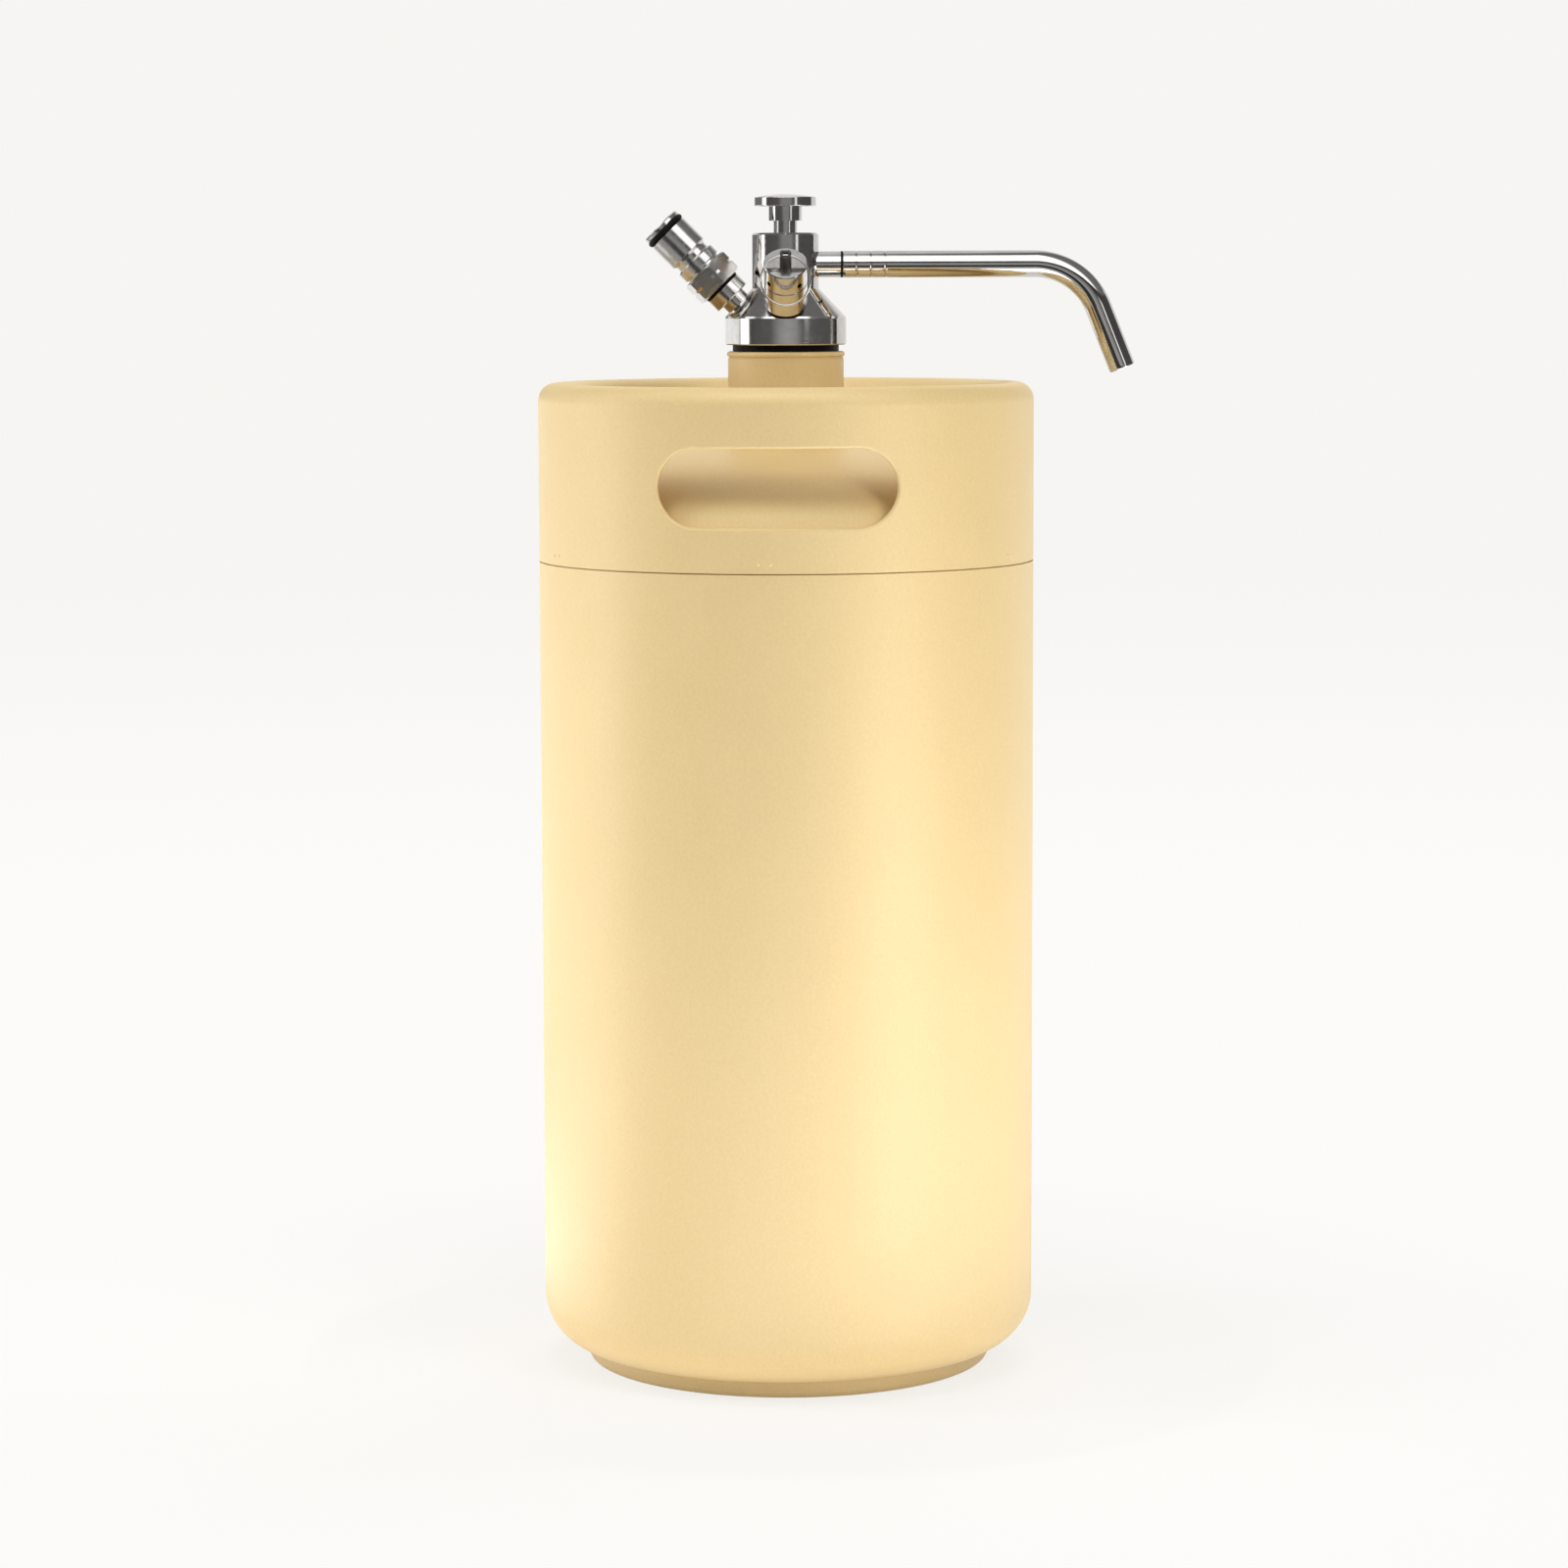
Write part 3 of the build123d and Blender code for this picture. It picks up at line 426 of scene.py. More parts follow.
threadShape = {
    "pitch": 3.0 * mm,
    "depth": 0.95 * mm,
    "clearance": 0.1 * mm,  # the groove in the neck is this much deeper than the ridge
    "low": 396.0 * mm,
    "high": 409.6 * mm,
    "foot": 0.9,  # where a flank starts, and how wide it is, as shares of half a pitch
    "flank": 0.7,
    "step": 0.33 * mm,  # between rows of points
    "columns": 144,
    "overrun": 1.0 * mm,  # the tap's sleeve is this much longer at each end
    "sunk": 0.05 * mm,  # depth of its outside and of its inside under the plug's surface
    "sleeve": 1.5 * mm,
}


# How far a thread stands out at each point, from 0 to 1: a ridge that climbs one pitch a turn, with sloping
# flanks and a flat crest. It fades in over its first turn and out over its last, unless it runs out at the
# mouth.
def threadRidge(points, toMouth=False):
    pitch = threadShape["pitch"]
    height = points[..., 2]
    turn = np.arctan2(points[..., 1], points[..., 0]) / fullTurn
    offCrest = np.abs(2 * ((height / pitch - turn) % 1) - 1)
    fade = smoothStep((height - threadShape["low"]) / pitch)
    if not toMouth:
        fade = fade * smoothStep((threadShape["high"] - height) / pitch)
    return np.clip((threadShape["foot"] - offCrest) / threadShape["flank"], 0, 1) * fade


# moves points straight out from the keg's axis by a distance at each
def pushOut(points, distance):
    radius = np.linalg.norm(points[..., :2], axis=-1, keepdims=True)
    moved = points.copy()
    moved[..., :2] *= 1 + distance[..., None] / radius
    return moved


# gives a piece its material and body, and hides the node that it stands for
def finishPiece(piece, material, body, replaced=None):
    piece.data.materials.append(material)
    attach(piece, body)
    if replaced:
        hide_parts(replaced)


shellShape = {
    "sheet": 1.2 * mm,
    "corner": 21.0 * mm,  # wall to bottom
    "dishRadius": 68.0 * mm,
    "dishRise": 9.0 * mm,
    "rows": 24,  # along the dish, and round the corner
    "columns": 224,
}


# The keg's wall and dished bottom: up the outside from the middle of the dish, and down the inside. The dish
# falls with the square of the radius, and the corner is a quarter of a circle.
def addKegWall():
    low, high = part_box("vessel_shell")
    radius, top, bottom = high.x, high.z, low.z
    sheet, corner = shellShape["sheet"], shellShape["corner"]
    share = np.linspace(0, 1, shellShape["rows"])
    dishAcross = shellShape["dishRadius"] * share
    dishUp = shellShape["dishRise"] * (1 - share**2)
    swing = share * math.pi / 2
    cornerAcross = radius - corner + corner * np.sin(swing)
    cornerUp = bottom + corner - corner * np.cos(swing)
    inner = corner - sheet
    innerAcross = radius - corner + inner * np.sin(swing)
    innerUp = bottom + corner - inner * np.cos(swing)
    dishOutside = np.stack([dishAcross, bottom + dishUp], axis=-1)
    dishInside = np.stack([dishAcross, bottom + sheet + dishUp], axis=-1)
    cornerOutside = np.stack([cornerAcross, cornerUp], axis=-1)
    cornerInside = np.stack([innerAcross, innerUp], axis=-1)
    rim = [(radius, top), (radius - sheet, top)]
    profile = np.vstack([dishOutside, cornerOutside, rim, cornerInside[::-1], dishInside[::-1]])
    wall = gridPiece("keg_wall", turnedPoints(profile, shellShape["columns"]), wrapColumns=True, weld=True)
    finishPiece(wall, coat, "keg", "vessel_shell")


headShape = {
    "edge": 98.77 * mm,
    "knuckle": 331.0 * mm,  # the height at which the dome starts
    "hole": 20.6 * mm,
    "rise": 43.35 * mm,
    "power": 2.5,
    "sheet": 1.2 * mm,
    "rows": 60,
    "columns": 192,
}


# The keg's domed head, a fuller curve than an ellipse: radius and height, each as a share of the dome's size
# and raised to a power, add up to one.
def addHead():
    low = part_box("vessel_head")[0]
    power, hole = headShape["power"], headShape["hole"]
    sides = []
    for sheet in (0.0, headShape["sheet"]):
        edge, rise = headShape["edge"] - sheet, headShape["rise"] - sheet
        swing = np.linspace(0, math.acos((hole / edge) ** (power / 2)), headShape["rows"])
        across = edge * np.cos(swing) ** (2 / power)
        up = headShape["knuckle"] + rise * np.sin(swing) ** (2 / power)
        sides.append(np.vstack([[(edge, low.z)], np.stack([across, up], axis=-1)]))
    profile = np.vstack([sides[0], sides[1][::-1]])
    points = turnedPoints(profile, headShape["columns"])
    head = gridPiece("keg_head", points, wrapRows=True, wrapColumns=True)
    finishPiece(head, coat, "keg", "vessel_head")


footShape = {
    "radius": 82.0 * mm,
    "height": 6.35 * mm,
    "sheet": 1.5 * mm,
    "flange": 8.0 * mm,
    "bend": 2.4 * mm,
    "topEdge": 0.2 * mm,  # radii of the strip's cut edges
    "lowEdge": 0.5 * mm,
    "columns": 192,
}


# the ring that the keg stands on: a strip bent inwards at the floor, which is an L turned about the axis
def addFootRing():
    radius, sheet, height = footShape["radius"], footShape["sheet"], footShape["height"]
    inner = radius - footShape["flange"]
    corners = [(radius, 0), (radius, height), (radius - sheet, height)]
    corners += [(radius - sheet, sheet), (inner, sheet), (inner, 0)]
    bend, topEdge, lowEdge = footShape["bend"], footShape["topEdge"], footShape["lowEdge"]
    outline = roundOutline(corners, (bend, topEdge, topEdge, bend - sheet, lowEdge, lowEdge), steps=8)
    points = turnedPoints(outline, footShape["columns"])
    ring = gridPiece("foot_strip", points, wrapRows=True, wrapColumns=True)
    finishPiece(ring, coat, "keg", "foot_ring")


neckShape = {
    "bore": 17.2 * mm,
    "spigot": 20.5 * mm,  # the part that passes through the head
    "outer": 23.35 * mm,
    "base": 374.06 * mm,
    "beadHeight": 2.1 * mm,
    "groove": 0.35 * mm,  # depth of the groove under the bead
    "grooveFlank": 2.2,  # where its sloping side starts and ends under the bead, as shares of its depth
    "grooveFloor": 1.2,
    # radii of its corners, in mm, from the spigot up the outside and down the bore
    "roundings": (0.3, 0.1, 0.1, 0.12, 0.12, 0.1, 0.2, 1.0, 0.6, 0.3),
}


# The welded neck: an outline turned about the axis, whose bore is pushed out to the thread's groove wherever
# that lies deeper.
def addNeck():
    low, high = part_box("neck_collar")
    bore, outer, spigot = neckShape["bore"], neckShape["outer"], neckShape["spigot"]
    under = high.z - neckShape["beadHeight"]
    proud = high.x - outer
    groove = neckShape["groove"]
    flank, floor = under - neckShape["grooveFlank"] * groove, under - neckShape["grooveFloor"] * groove
    corners = [(spigot, low.z), (spigot, neckShape["base"]), (outer, neckShape["base"]), (outer, flank)]
    corners += [(outer - groove, floor), (outer - groove, under), (high.x, under + proud)]
    corners += [(high.x, high.z), (bore, high.z), (bore, low.z)]
    outline = roundOutline(corners, np.array(neckShape["roundings"]) * mm)
    points = turnedPoints(denser(outline, threadShape["step"]), threadShape["columns"])
    grooveDepth = threadShape["depth"] + threadShape["clearance"]
    grooveRadius = bore + grooveDepth * threadRidge(points, toMouth=True)
    missing = np.maximum(grooveRadius - np.linalg.norm(points[..., :2], axis=-1), 0)
    neck = gridPiece("threaded_neck", pushOut(points, missing), wrapRows=True, wrapColumns=True)
    finishPiece(neck, coat, "keg", "neck_collar")


# the tap's thread: a sleeve just under the plug's surface, whose outside is pushed out to the ridge
def addPlugThread():
    plug = neckShape["bore"] - threadShape["clearance"]
    low, high = threadShape["low"] - threadShape["overrun"], threadShape["high"] + threadShape["overrun"]
    outer, inner = plug - threadShape["sunk"], plug - threadShape["sleeve"]
    outline = np.array([(outer, low), (outer, high), (inner, high), (inner, low)])
    points = turnedPoints(denser(outline, threadShape["step"]), threadShape["columns"])
    outside = np.linalg.norm(points[..., :2], axis=-1) > (outer + inner) / 2
    ridge = pushOut(points, threadShape["depth"] * threadRidge(points) * outside)
    thread = gridPiece("plug_thread", ridge, wrapRows=True, wrapColumns=True)
    finishPiece(thread, capSteel, "tap")


weldShape = {
    "azimuths": (-65.5, -5.0, 62.0, 118.0, 176.0, -125.0),  # degrees to the right of the front
    "spacing": 4.7 * mm,
    "aboveSeam": 4.2 * mm,
    "radius": 0.8 * mm,
    "height": 0.45 * mm,
    "sunk": 0.05 * mm,  # its edge lies this far inside the wall
    "rows": 6,
    "columns": 16,
}


# Pairs of small spot welds above the seam. Each is a low dome on the wall, which falls with the square of
# the distance from its middle.
def addSpotWelds():
    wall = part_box("vessel_shell")[1]
    aside = np.array([-0.5, 0.5]) * weldShape["spacing"] / wall.x
    azimuth = (np.radians(weldShape["azimuths"])[:, None] + aside).reshape(-1, 1, 1)
    share = np.linspace(1, 0, weldShape["rows"])[:, None]
    turns = np.linspace(0, fullTurn, weldShape["columns"], endpoint=False)[None, :]
    across = weldShape["radius"] * share * np.cos(turns) / wall.x
    out = wall.x + weldShape["height"] * (1 - share**2) - weldShape["sunk"] + 0 * turns
    height = wall.z + weldShape["aboveSeam"] + weldShape["radius"] * share * np.sin(turns)
    angle = azimuth + across
    points = np.stack([out * np.sin(angle), -out * np.cos(angle), height + 0 * angle], axis=-1)
    welds = gridPiece("spot_welds", points, wrapColumns=True, weld=True)
    finishPiece(welds, coat, "keg")


beadShape = {
    "thickness": 1.35 * mm,
    "aside": 0.35 * mm,  # its middle lies this far outside the neck and below the neck's foot
    "ripples": ((64, 0.06, 0.0), (5, 0.05, 1.0), (17, 0.03, 0.0)),  # waves in a turn, height and start
    "rows": 14,  # round the bead
    "columns": 480,  # along it
}


# the bead round the neck's foot: a ring whose thickness ripples by three sine waves added up
def addNeckWeld():
    turns = np.linspace(0, fullTurn, beadShape["columns"], endpoint=False)[None, :]
    swing = np.linspace(0, fullTurn, beadShape["rows"], endpoint=False)[:, None]
    ripple = sum(size * np.sin(waves * turns + start) for waves, size, start in beadShape["ripples"])
    thick = beadShape["thickness"] * (1 + ripple)
    radius = neckShape["outer"] + beadShape["aside"] + thick * np.cos(swing)
    height = neckShape["base"] - beadShape["aside"] + thick * np.sin(swing)
    points = np.stack([radius * np.cos(turns), radius * np.sin(turns), height], axis=-1)
    bead = gridPiece("neck_weld", points, wrapRows=True, wrapColumns=True)
    finishPiece(bead, coat, "keg")


spoutShape = {
    "droop": 68.3,  # degrees
    "bend": 28.0 * mm,
    "wall": 0.9 * mm,
    "grooves": (5.7 * mm, 11.45 * mm, 17.2 * mm),  # from the tube's start
    "grooveDepth": 0.13 * mm,
    "grooveWidth": 0.32 * mm,
    "fineReach": 1.4 * mm,  # each side of a groove, where the rows are close together
    "seam": 0.7 * math.pi,  # where the map's seam lies, from the top
    "rows": 150,  # along the tube, besides those at each groove and round each lip
    "grooveRows": 17,
    "lipRows": 9,
    "columns": 64,
}


# The spout: a circle carried along a straight run, an arc and a leg. The outside goes out along it, round
# the lip and back along the inside; its radius dips by a bell curve at each groove.
def addSpout():
    low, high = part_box("spout")
    droop, bend, wall = math.radians(spoutShape["droop"]), spoutShape["bend"], spoutShape["wall"]
    radius = high.y
    axis = high.z - radius
    tip = np.array([high.x - radius * math.sin(droop), low.z + radius * math.cos(droop)])
    corner = tip[0] - (axis - tip[1]) / math.tan(droop)
    tangent = bend * math.tan(droop / 2)
    straight = corner - low.x - tangent
    leg = (axis - tip[1]) / math.sin(droop) - tangent
    total = straight + bend * droop + leg
    grooves = np.array(spoutShape["grooves"])
    reach = np.linspace(-1, 1, spoutShape["grooveRows"]) * spoutShape["fineReach"]
    even = np.linspace(wall / 2, total - wall / 2, spoutShape["rows"])
    along = np.union1d(even, (grooves[:, None] + reach).ravel())
    dips = np.exp(-(((along[:, None] - grooves) / spoutShape["grooveWidth"]) ** 2)).sum(axis=1)
    lip = np.linspace(0, math.pi, spoutShape["lipRows"])
    half = wall / 2
    toLip = half * np.sin(lip)
    place = np.concatenate([along, total - half + toLip, along[::-1], half - toLip])
    size = np.concatenate(
        [
            radius - spoutShape["grooveDepth"] * dips,
            radius - half + half * np.cos(lip),
            (radius - wall) + 0 * along,
            radius - half - half * np.cos(lip),
        ]
    )
    turn = np.clip((place - straight) / bend, 0, droop)
    past = np.maximum(place - straight - bend * droop, 0)
    x = low.x + np.minimum(place, straight) + bend * np.sin(turn) + past * math.cos(droop)
    z = axis - bend * (1 - np.cos(turn)) - past * math.sin(droop)
    share = np.linspace(0, 1, spoutShape["columns"] + 1)[None, :]
    around = fullTurn * share + spoutShape["seam"]
    x, z, turn, size, place = (row[:, None] for row in (x, z, turn, size, place))
    up, side = size * np.cos(around), -size * np.sin(around)
    points = np.stack([x + up * np.sin(turn), side, z + up * np.cos(turn)], axis=-1)
    tubeMap = np.stack([share + 0 * place, place + 0 * share], axis=-1)
    spout = gridPiece("bent_spout", points, wrapRows=True, tubeMap=tubeMap, weld=True)
    finishPiece(spout, tube, "spout", "spout")


# each spring's node, name and joint, a point on its axis, and its turns
springs = (
    ("valve_spring", "valve_coil", "knob_press", origin, 6),
    ("poppet_spring", "poppet_coil", "poppet_press", gasPlace, 4),
    ("relief_spring", "relief_coil", "relief_pull", eyePlace, 4),
)
springShape = {
    "rowsPerTurn": 28,
    "columns": 12,
    "flatClimb": 0.25,  # of an end turn, before the climb of the free turns is added
    "flatTurns": 0.4,  # at each end
    "taper": 1 / 40,  # turns in which the wire's end closes
    "startAcross": (0.3, 0.9, 0.2),  # the wire starts at right angles to this and to the axis
}


# A spring along its joint's axis: a small circle carried along a helix, whose first and last turn lie nearly flat.
# Its length and thickness are those of the plain spring that it stands for.
def addSpring(node, name, jointName, centre, turns):
    joint = joints[jointName]
    mesh = nodes[node].data
    corners = np.empty(3 * len(mesh.vertices), np.float32)
    mesh.vertices.foreach_get("co", corners)
    axis = np.array(joint["axis"], float)
    axis /= np.linalg.norm(axis)
    centre = np.array(centre)
    offset = corners.reshape(-1, 3) - centre
    along = offset @ axis
    out = np.linalg.norm(offset - along[:, None] * axis, axis=1)
    wire = (out.max() - out.min()) / 2
    coil = (out.max() + out.min()) / 2
    span = along.max() - along.min()
    side = np.cross(axis, springShape["startAcross"])
    side /= np.linalg.norm(side)
    other = np.cross(axis, side)
    count = np.linspace(0, turns, springShape["rowsPerTurn"] * turns + 1)
    flat = springShape["flatTurns"]
    climb = springShape["flatClimb"] + smoothStep(count - flat) * smoothStep(turns - flat - count)
    rise = np.concatenate([[0], np.cumsum((climb[1:] + climb[:-1]) / 2)])
    place = along.min() + wire + rise / rise[-1] * (span - 2 * wire)
    turn = fullTurn * count[:, None]
    outward = np.cos(turn) * side + np.sin(turn) * other
    line = centre + place[:, None] * axis + coil * outward
    size = wire * np.clip(np.minimum(count, turns - count) / springShape["taper"], 0, 1) ** 0.5
    around = np.linspace(0, fullTurn, springShape["columns"], endpoint=False)[None, :, None]
    ring = outward[:, None] * np.cos(around) - axis * np.sin(around)
    points = line[:, None] + size[:, None, None] * ring
    spring = gridPiece(name, points, wrapColumns=True, weld=True)
    finishPiece(spring, springSteel, "tap", node)
    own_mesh(spring)


for spring in springs:
    addSpring(*spring)
addKegWall()
addHead()
addFootRing()
addNeck()
addPlugThread()
addSpotWelds()
addNeckWeld()
addSpout()
print("new pieces")


cameraView = {
    "lens": 105.2,
    "sensor": 36,
    "place": (0.0, -1.857, 0.4404),
    "pitch": -6.29,  # degrees, and so it looks down
    "yaw": 0.039,
    "roll": -0.177,
}


def addCamera():
    data = bpy.data.cameras.new("camera")
    data.lens = cameraView["lens"]
    data.sensor_width = cameraView["sensor"]
    data.sensor_fit = "HORIZONTAL"
    camera = bpy.data.objects.new("camera", data)
    turn = Matrix.Rotation(math.radians(cameraView["yaw"]), 4, "Z")
    tip = Matrix.Rotation(math.radians(90 + cameraView["pitch"]), 4, "X")
    roll = Matrix.Rotation(math.radians(cameraView["roll"]), 4, "Z")
    camera.matrix_world = Matrix.Translation(cameraView["place"]) @ turn @ tip @ roll
    scene.collection.objects.link(camera)
    scene.camera = camera


addCamera()
print("camera")


studio = {
    "background": (0.922, 0.913, 0.892),
    "floorNear": (0.975, 0.966, 0.946),
    "nearGlow": 0.8,  # how much of the floor's own white is seen beside the object, under its shadow
    "bounce": 0.62,  # light that the white table throws up on what stands close to it
    "ambient": 0.28,
    # from one distance to another, in metres:
    "glowFade": (0.14, 0.5),  # the floor's own white grows to its full strength
    "farFade": (0.6, 5.0),  # its colour turns into the background's
    "bounceStart": (0.088, 0.115),  # the bounce grows from nothing, outside the foot,
    "bounceEnd": (0.1, 0.35),  # and fades again
    "bounceColour": (1, 0.98, 0.94),
    "paper": (0.93, 0.925, 0.91),
    "paperRoughness": 0.7,
    "paperSpecular": 0.2,
    "floorRadius": 14,
    "floorRows": 40,
    "floorColumns": 96,
}


# the share of camera, mirror and glass rays, which see the plain background
def seenRays(tree):
    path = addNode(tree, "ShaderNodeLightPath").outputs
    links = {0: path["Is Camera Ray"], 1: path["Is Glossy Ray"]}
    first = addNode(tree, "ShaderNodeMath", None, links, operation="MAXIMUM")
    links = {0: first.outputs[0], 1: path["Is Transmission Ray"]}
    return addNode(tree, "ShaderNodeMath", None, links, operation="MAXIMUM").outputs[0]


# camera and mirror rays see the background, and other rays the plain light
def addWorld():
    world = bpy.data.worlds.new("studioWorld")
    world.use_nodes = True
    tree = world.node_tree
    tree.nodes.clear()
    seen = addNode(tree, "ShaderNodeBackground", {"Color": (*studio["background"], 1)})
    lighting = addNode(tree, "ShaderNodeBackground", {"Color": (1, 1, 1, 1), "Strength": studio["ambient"]})
    mix = addNode(tree, "ShaderNodeMixShader")
    tree.links.new(seenRays(tree), mix.inputs[0])
    tree.links.new(lighting.outputs[0], mix.inputs[1])
    tree.links.new(seen.outputs[0], mix.inputs[2])
    output = addNode(tree, "ShaderNodeOutputWorld")
    tree.links.new(mix.outputs[0], output.inputs[0])
    scene.world = world


# a number that goes from one value to another as the distance goes over a fade
def fadeOver(tree, distance, fade, first, last, **settings):
    spread = {"From Min": fade[0], "From Max": fade[1], "To Min": first, "To Max": last}
    return addNode(tree, "ShaderNodeMapRange", spread, {"Value": distance}, **settings).outputs["Result"]


# The floor is a disc whose rings grow with the square. Its material is paper that takes the shadow, mixed
# with its own white, and a glow that only diffuse rays see is added.
def addFloor():
    rows = np.linspace(0, 1, studio["floorRows"])[:, None] ** 2 * studio["floorRadius"]
    turns = np.linspace(0, fullTurn, studio["floorColumns"], endpoint=False)[None, :]
    points = np.stack([rows * np.cos(turns), rows * np.sin(turns), 0 * rows * turns], axis=-1)
    floor = gridPiece("floor", points, wrapColumns=True)
    material, tree, shader, place = startMaterial("floorPaper")
    rough, specular = studio["paperRoughness"], studio["paperSpecular"]
    setShader(shader, Base_Color=(*studio["paper"], 1), Roughness=rough, Specular_IOR_Level=specular)
    distance = addNode(tree, "ShaderNodeVectorMath", None, {0: place}, operation="LENGTH").outputs["Value"]
    smooth = {"interpolation_type": "SMOOTHSTEP"}
    far = fadeOver(tree, distance, studio["glowFade"], studio["nearGlow"], 1.0, **smooth)
    behind = fadeOver(tree, distance, studio["farFade"], 0.0, 1.0, **smooth)
    colour = mixColours(tree, behind, studio["floorNear"], studio["background"])
    glow = addNode(tree, "ShaderNodeEmission", None, {"Color": colour})
    share = addNode(tree, "ShaderNodeMath", None, {0: far, 1: seenRays(tree)}, operation="MULTIPLY")
    mix = addNode(tree, "ShaderNodeMixShader")
    tree.links.new(share.outputs[0], mix.inputs[0])
    tree.links.new(shader.outputs[0], mix.inputs[1])
    tree.links.new(glow.outputs[0], mix.inputs[2])
    rays = addNode(tree, "ShaderNodeLightPath").outputs["Is Diffuse Ray"]
    end = fadeOver(tree, distance, studio["bounceEnd"], studio["bounce"], 0.0)
    start = fadeOver(tree, distance, studio["bounceStart"], 0.0, 1.0)
    lit = addNode(tree, "ShaderNodeMath", None, {0: end, 1: start}, operation="MULTIPLY").outputs[0]
    strength = addNode(tree, "ShaderNodeMath", None, {0: lit, 1: rays}, operation="MULTIPLY").outputs[0]
    bounceColour = {"Color": (*studio["bounceColour"], 1)}
    bounce = addNode(tree, "ShaderNodeEmission", bounceColour, {"Strength": strength})
    total = addNode(tree, "ShaderNodeAddShader", None, {0: mix.outputs[0], 1: bounce.outputs[0]})
    tree.links.new(total.outputs[0], tree.nodes["Material Output"].inputs["Surface"])
    floor.data.materials.append(material)


wallRadius = 0.9
roof = (0.175, 0.975)  # the radius and height where the roof turns flat
bandStep = 2.0  # degrees between a band's points, besides those where its brightness is given
# What stands round the object, only seen in its reflections: bands from one (radius, height) to another.
# Each has its brightness at some azimuths, in degrees to the right of the camera, and blends between them.
room = {
    "wallLow": (
        (wallRadius, 0.0),
        (wallRadius, 0.30),
        [(-100, 0.01), (-98, 3.2), (-80, 3.2), (-74, 0.1), (-22, 0.06), (-12, 0.04), (16, 0.04), (31, 0.8)]
        + [(38, 5.2), (53, 5.2), (63, 0.9), (74, 0.08), (113, 0.05)],
    ),
    "wallMiddle": (
        (wallRadius, 0.30),
        (wallRadius, 0.43),
        [(-96, 0.01), (-95, 0.01), (-94, 2.2), (-74, 2.2), (-72, 0.08), (-60, 0.12), (-28, 0.15), (-10, 0.4)]
        + [(6, 0.48), (20, 0.38), (32, 0.15), (60, 0.13), (104, 0.11), (108, 0.01), (113, 0.01)],
    ),
    "wallHigh": (
        (wallRadius, 0.43),
        (wallRadius, 0.63),
        [(-96, 0.01), (-95, 0.01), (-94, 2.2), (-78, 2.2), (-76, 0.1), (-28, 0.12), (-10, 0.3), (20, 0.3)]
        + [(31, 0.12), (35, 0.12), (36, 1.3), (43, 1.3), (45, 0.1), (106, 0.1), (108, 0.01), (113, 0.01)],
    ),
    "wallTop": (
        (wallRadius, 0.63),
        (wallRadius, 0.82),
        [(-96, 0.1), (-94, 1.6), (-76, 1.6), (-74, 0.06), (-30, 0.04), (30, 0.04), (60, 0.08), (113, 0.1)],
    ),
    "behindLeftFoot": (
        (wallRadius, 0.0),
        (wallRadius, 0.13),
        [(-165, 1.1), (-150, 1.2), (-132, 1.9), (-100, 1.9)],
    ),
    "behindLeftLow": (
        (wallRadius, 0.13),
        (wallRadius, 0.43),
        [(-165, 1.1), (-150, 1.1), (-132, 1.3), (-100, 1.3)],
    ),
    "behindLeftHigh": (
        (wallRadius, 0.43),
        (wallRadius, 0.63),
        [(-175, 0.35), (-150, 0.22), (-100, 0.22)],
    ),
    "behindRight": ((wallRadius, 0.0), (wallRadius, 0.38), [(118, 1.2), (165, 1.2)]),
    "overhead": (
        (wallRadius, 0.82),
        roof,
        [(-96, 0.2), (-94, 1.6), (-76, 1.6), (-70, 0.3), (-58, 0.3), (-48, 2.0), (50, 2.0), (62, 0.25)]
        + [(96, 0.2)],
    ),
    "ceiling": (
        (0.75, 0.74),
        roof,
        [(96, 0.2), (140, 0.2), (152, 0.8), (208, 0.8), (220, 0.2), (264, 0.2)],
    ),
    "zenith": (
        roof,
        (0.0, 0.99),
        [(-180, 0.8), (-150, 0.8), (-135, 0.2), (-55, 0.2), (-35, 0.8), (35, 0.8), (55, 0.2), (135, 0.2)]
        + [(150, 0.8), (180, 0.8)],
    ),
    "tableNear": (
        (0.2, 0.002),
        (0.5, 0.002),
        [(-165, 0.9), (-150, 1.1), (-125, 2.4), (-115, 3.0), (-82, 3.0), (-74, 1.7), (-62, 0.6), (-40, 0.8)]
        + [(-22, 2.8), (0, 3.7), (30, 4.0), (60, 2.8), (85, 1.8), (115, 1.5), (130, 1.2), (165, 0.9)],
    ),
    "tableFar": (
        (0.5, 0.002),
        (wallRadius, 0.002),
        [(-165, 0.9), (-150, 0.6), (-110, 0.5), (-62, 0.4), (30, 0.5), (45, 2.4), (60, 2.8), (85, 1.8)]
        + [(115, 1.5), (130, 1.2), (165, 0.9)],
    ),
}


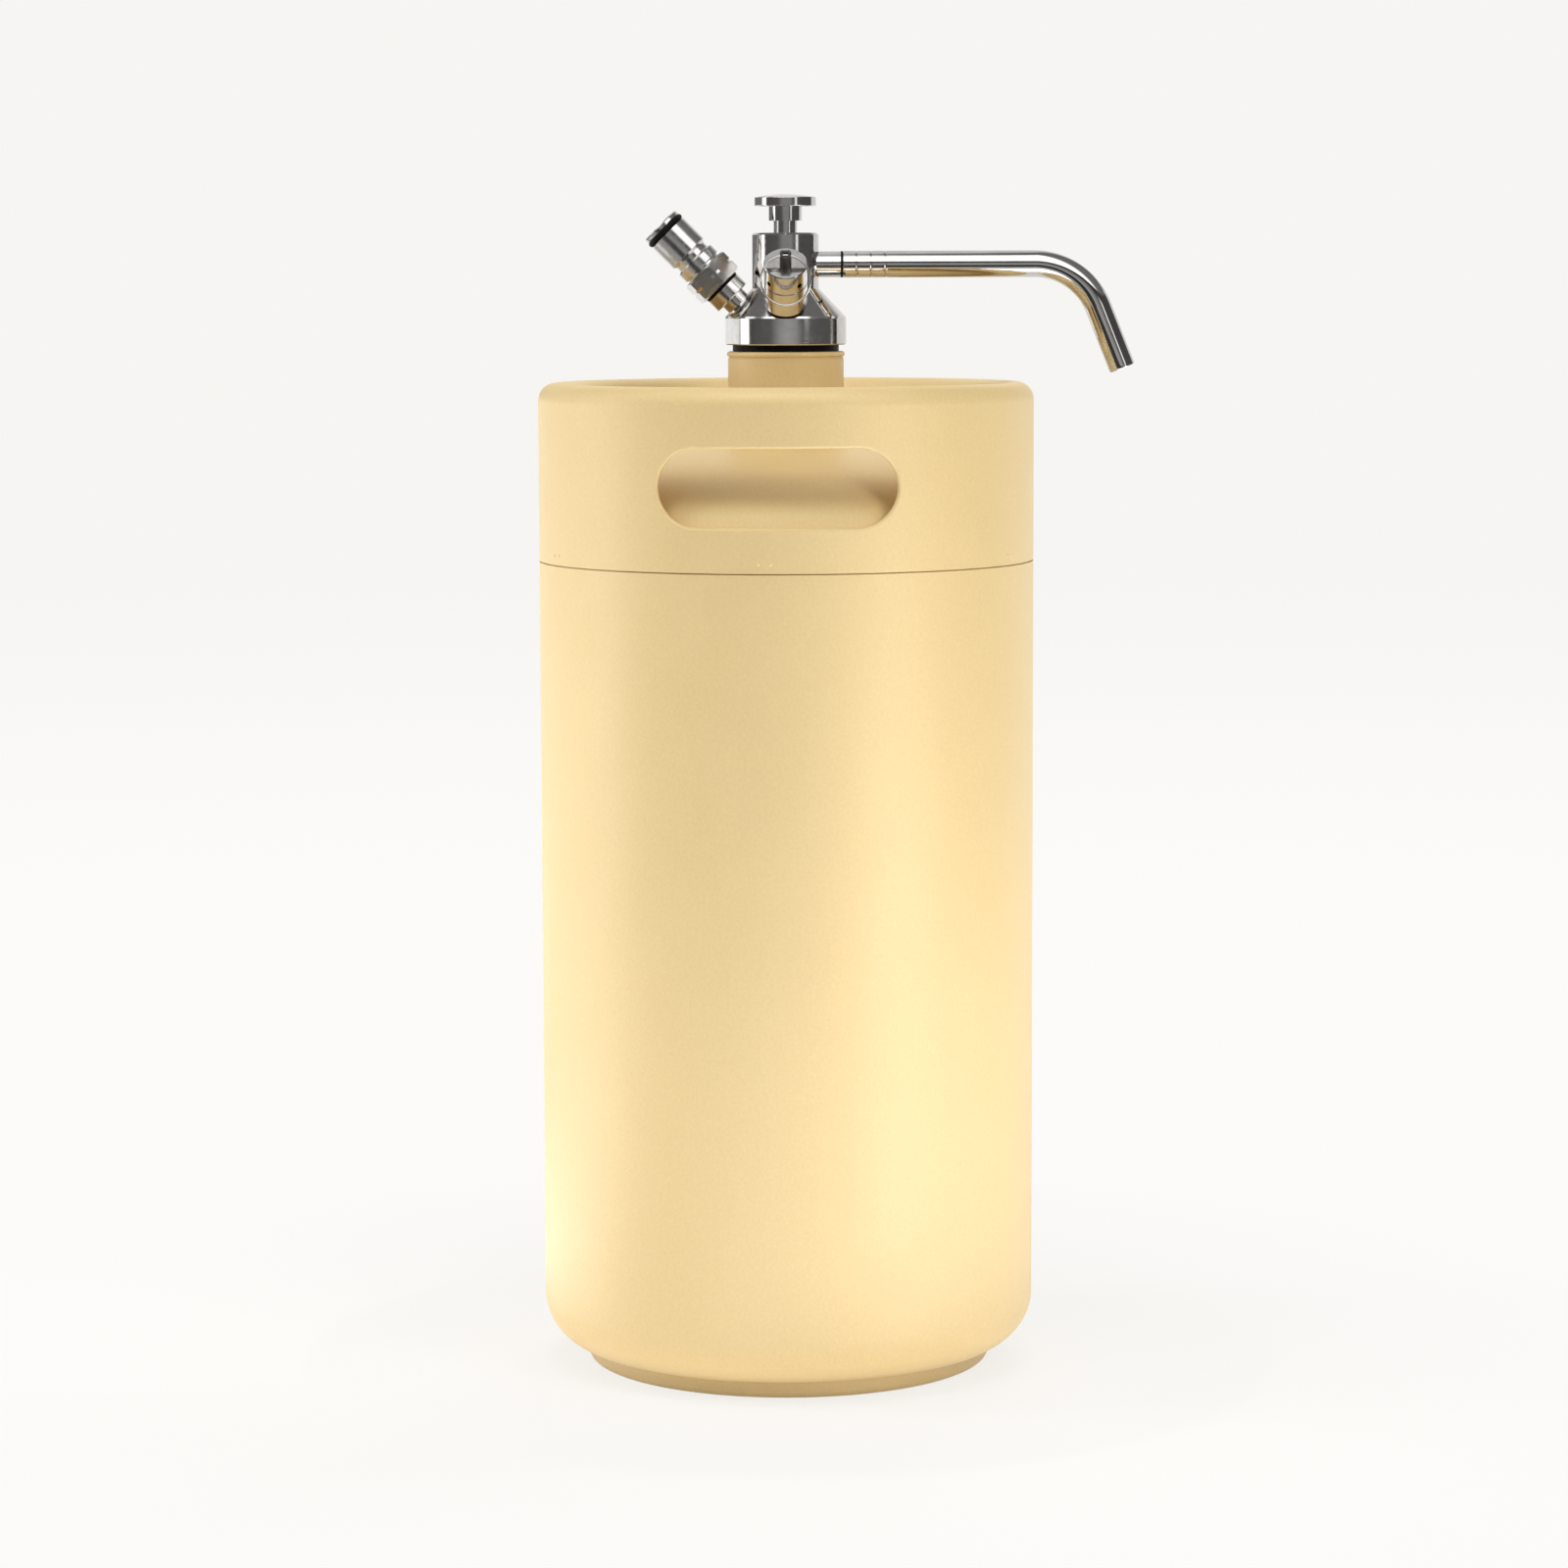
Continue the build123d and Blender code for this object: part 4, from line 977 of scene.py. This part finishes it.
# a band is a piece of a cone: its azimuth runs one way and its radius and height run the other
def addRoom():
    for name, (low, high, stops) in room.items():
        azimuths, lights = np.array(stops, float).T
        steps = np.unique(np.concatenate([azimuths, np.arange(azimuths[0], azimuths[-1], bandStep)]))
        turns = np.radians(steps)[:, None]
        radius, height = np.array([low, high]).T[:, None, :]
        points = np.stack([radius * np.sin(turns), -radius * np.cos(turns), height + 0 * turns], axis=-1)
        band = gridPiece(name, points)
        glowLayer = band.data.attributes.new("glow", "FLOAT", "POINT")
        light = np.interp(steps, azimuths, lights)
        glowLayer.data.foreach_set("value", np.repeat(light, 2).astype(np.float32))
        material, tree = startMaterial(name)[:2]
        strength = addNode(tree, "ShaderNodeAttribute", attribute_name="glow").outputs["Fac"]
        glow = addNode(tree, "ShaderNodeEmission", None, {"Strength": strength})
        tree.links.new(glow.outputs[0], tree.nodes["Material Output"].inputs["Surface"])
        band.data.materials.append(material)
        band.visible_camera = False
        band.visible_diffuse = False
        band.visible_shadow = False
        band.visible_transmission = False


# azimuth and elevation in degrees, distance, width and height in metres, and power in watts
lamps = {
    "leftLamp": (-89, 20, 1.3, 0.35, 1.1, 5.1),
    "rightLamp": (42, 25, 1.4, 0.3, 0.9, 4.4),
    "topLamp": (-10, 74, 1.3, 1.0, 0.8, 7.9),
    "backLamp": (170, 30, 1.6, 0.8, 0.8, 6.5),
}


# soft lamps, each turned to the middle of the object
def addLamps():
    middle = (cadBox[0] + cadBox[1]) / 2
    for name, (azimuth, elevation, distance, width, height, power) in lamps.items():
        a, e = math.radians(azimuth), math.radians(elevation)
        out = Vector((math.sin(a) * math.cos(e), -math.cos(a) * math.cos(e), math.sin(e)))
        data = bpy.data.lights.new(name, "AREA")
        data.shape = "RECTANGLE"
        data.size, data.size_y = width, height
        data.energy = power
        lamp = bpy.data.objects.new(name, data)
        lamp.location = middle + out * distance
        lamp.rotation_mode = "QUATERNION"
        lamp.rotation_quaternion = out.to_track_quat("Z", "Y")
        lamp.visible_glossy = False
        scene.collection.objects.link(lamp)


# azimuth in degrees, distance and size in metres, and power in watts
tableLamps = {
    "tableGlowLeft": (-100, 0.45, 0.5, 1.6),
    "tableGlowFront": (-20, 0.45, 0.5, 0.55),
    "tableGlowRight": (60, 0.45, 0.5, 1.5),
}
tableLampHeight = 2 * mm


# light that comes up from the white table: round lamps that lie flat on it and shine upwards
def addTableLamps():
    for name, (azimuth, distance, size, power) in tableLamps.items():
        data = bpy.data.lights.new(name, "AREA")
        data.shape = "DISK"
        data.size = size
        data.energy = power
        lamp = bpy.data.objects.new(name, data)
        a = math.radians(azimuth)
        lamp.location = (distance * math.sin(a), -distance * math.cos(a), tableLampHeight)
        lamp.rotation_euler = (math.pi, 0, 0)
        lamp.visible_glossy = False
        scene.collection.objects.link(lamp)


addWorld()
addFloor()
addRoom()
addLamps()
addTableLamps()
scene.view_settings.view_transform = "Standard"
print("studio")

bpy.context.view_layer.update()
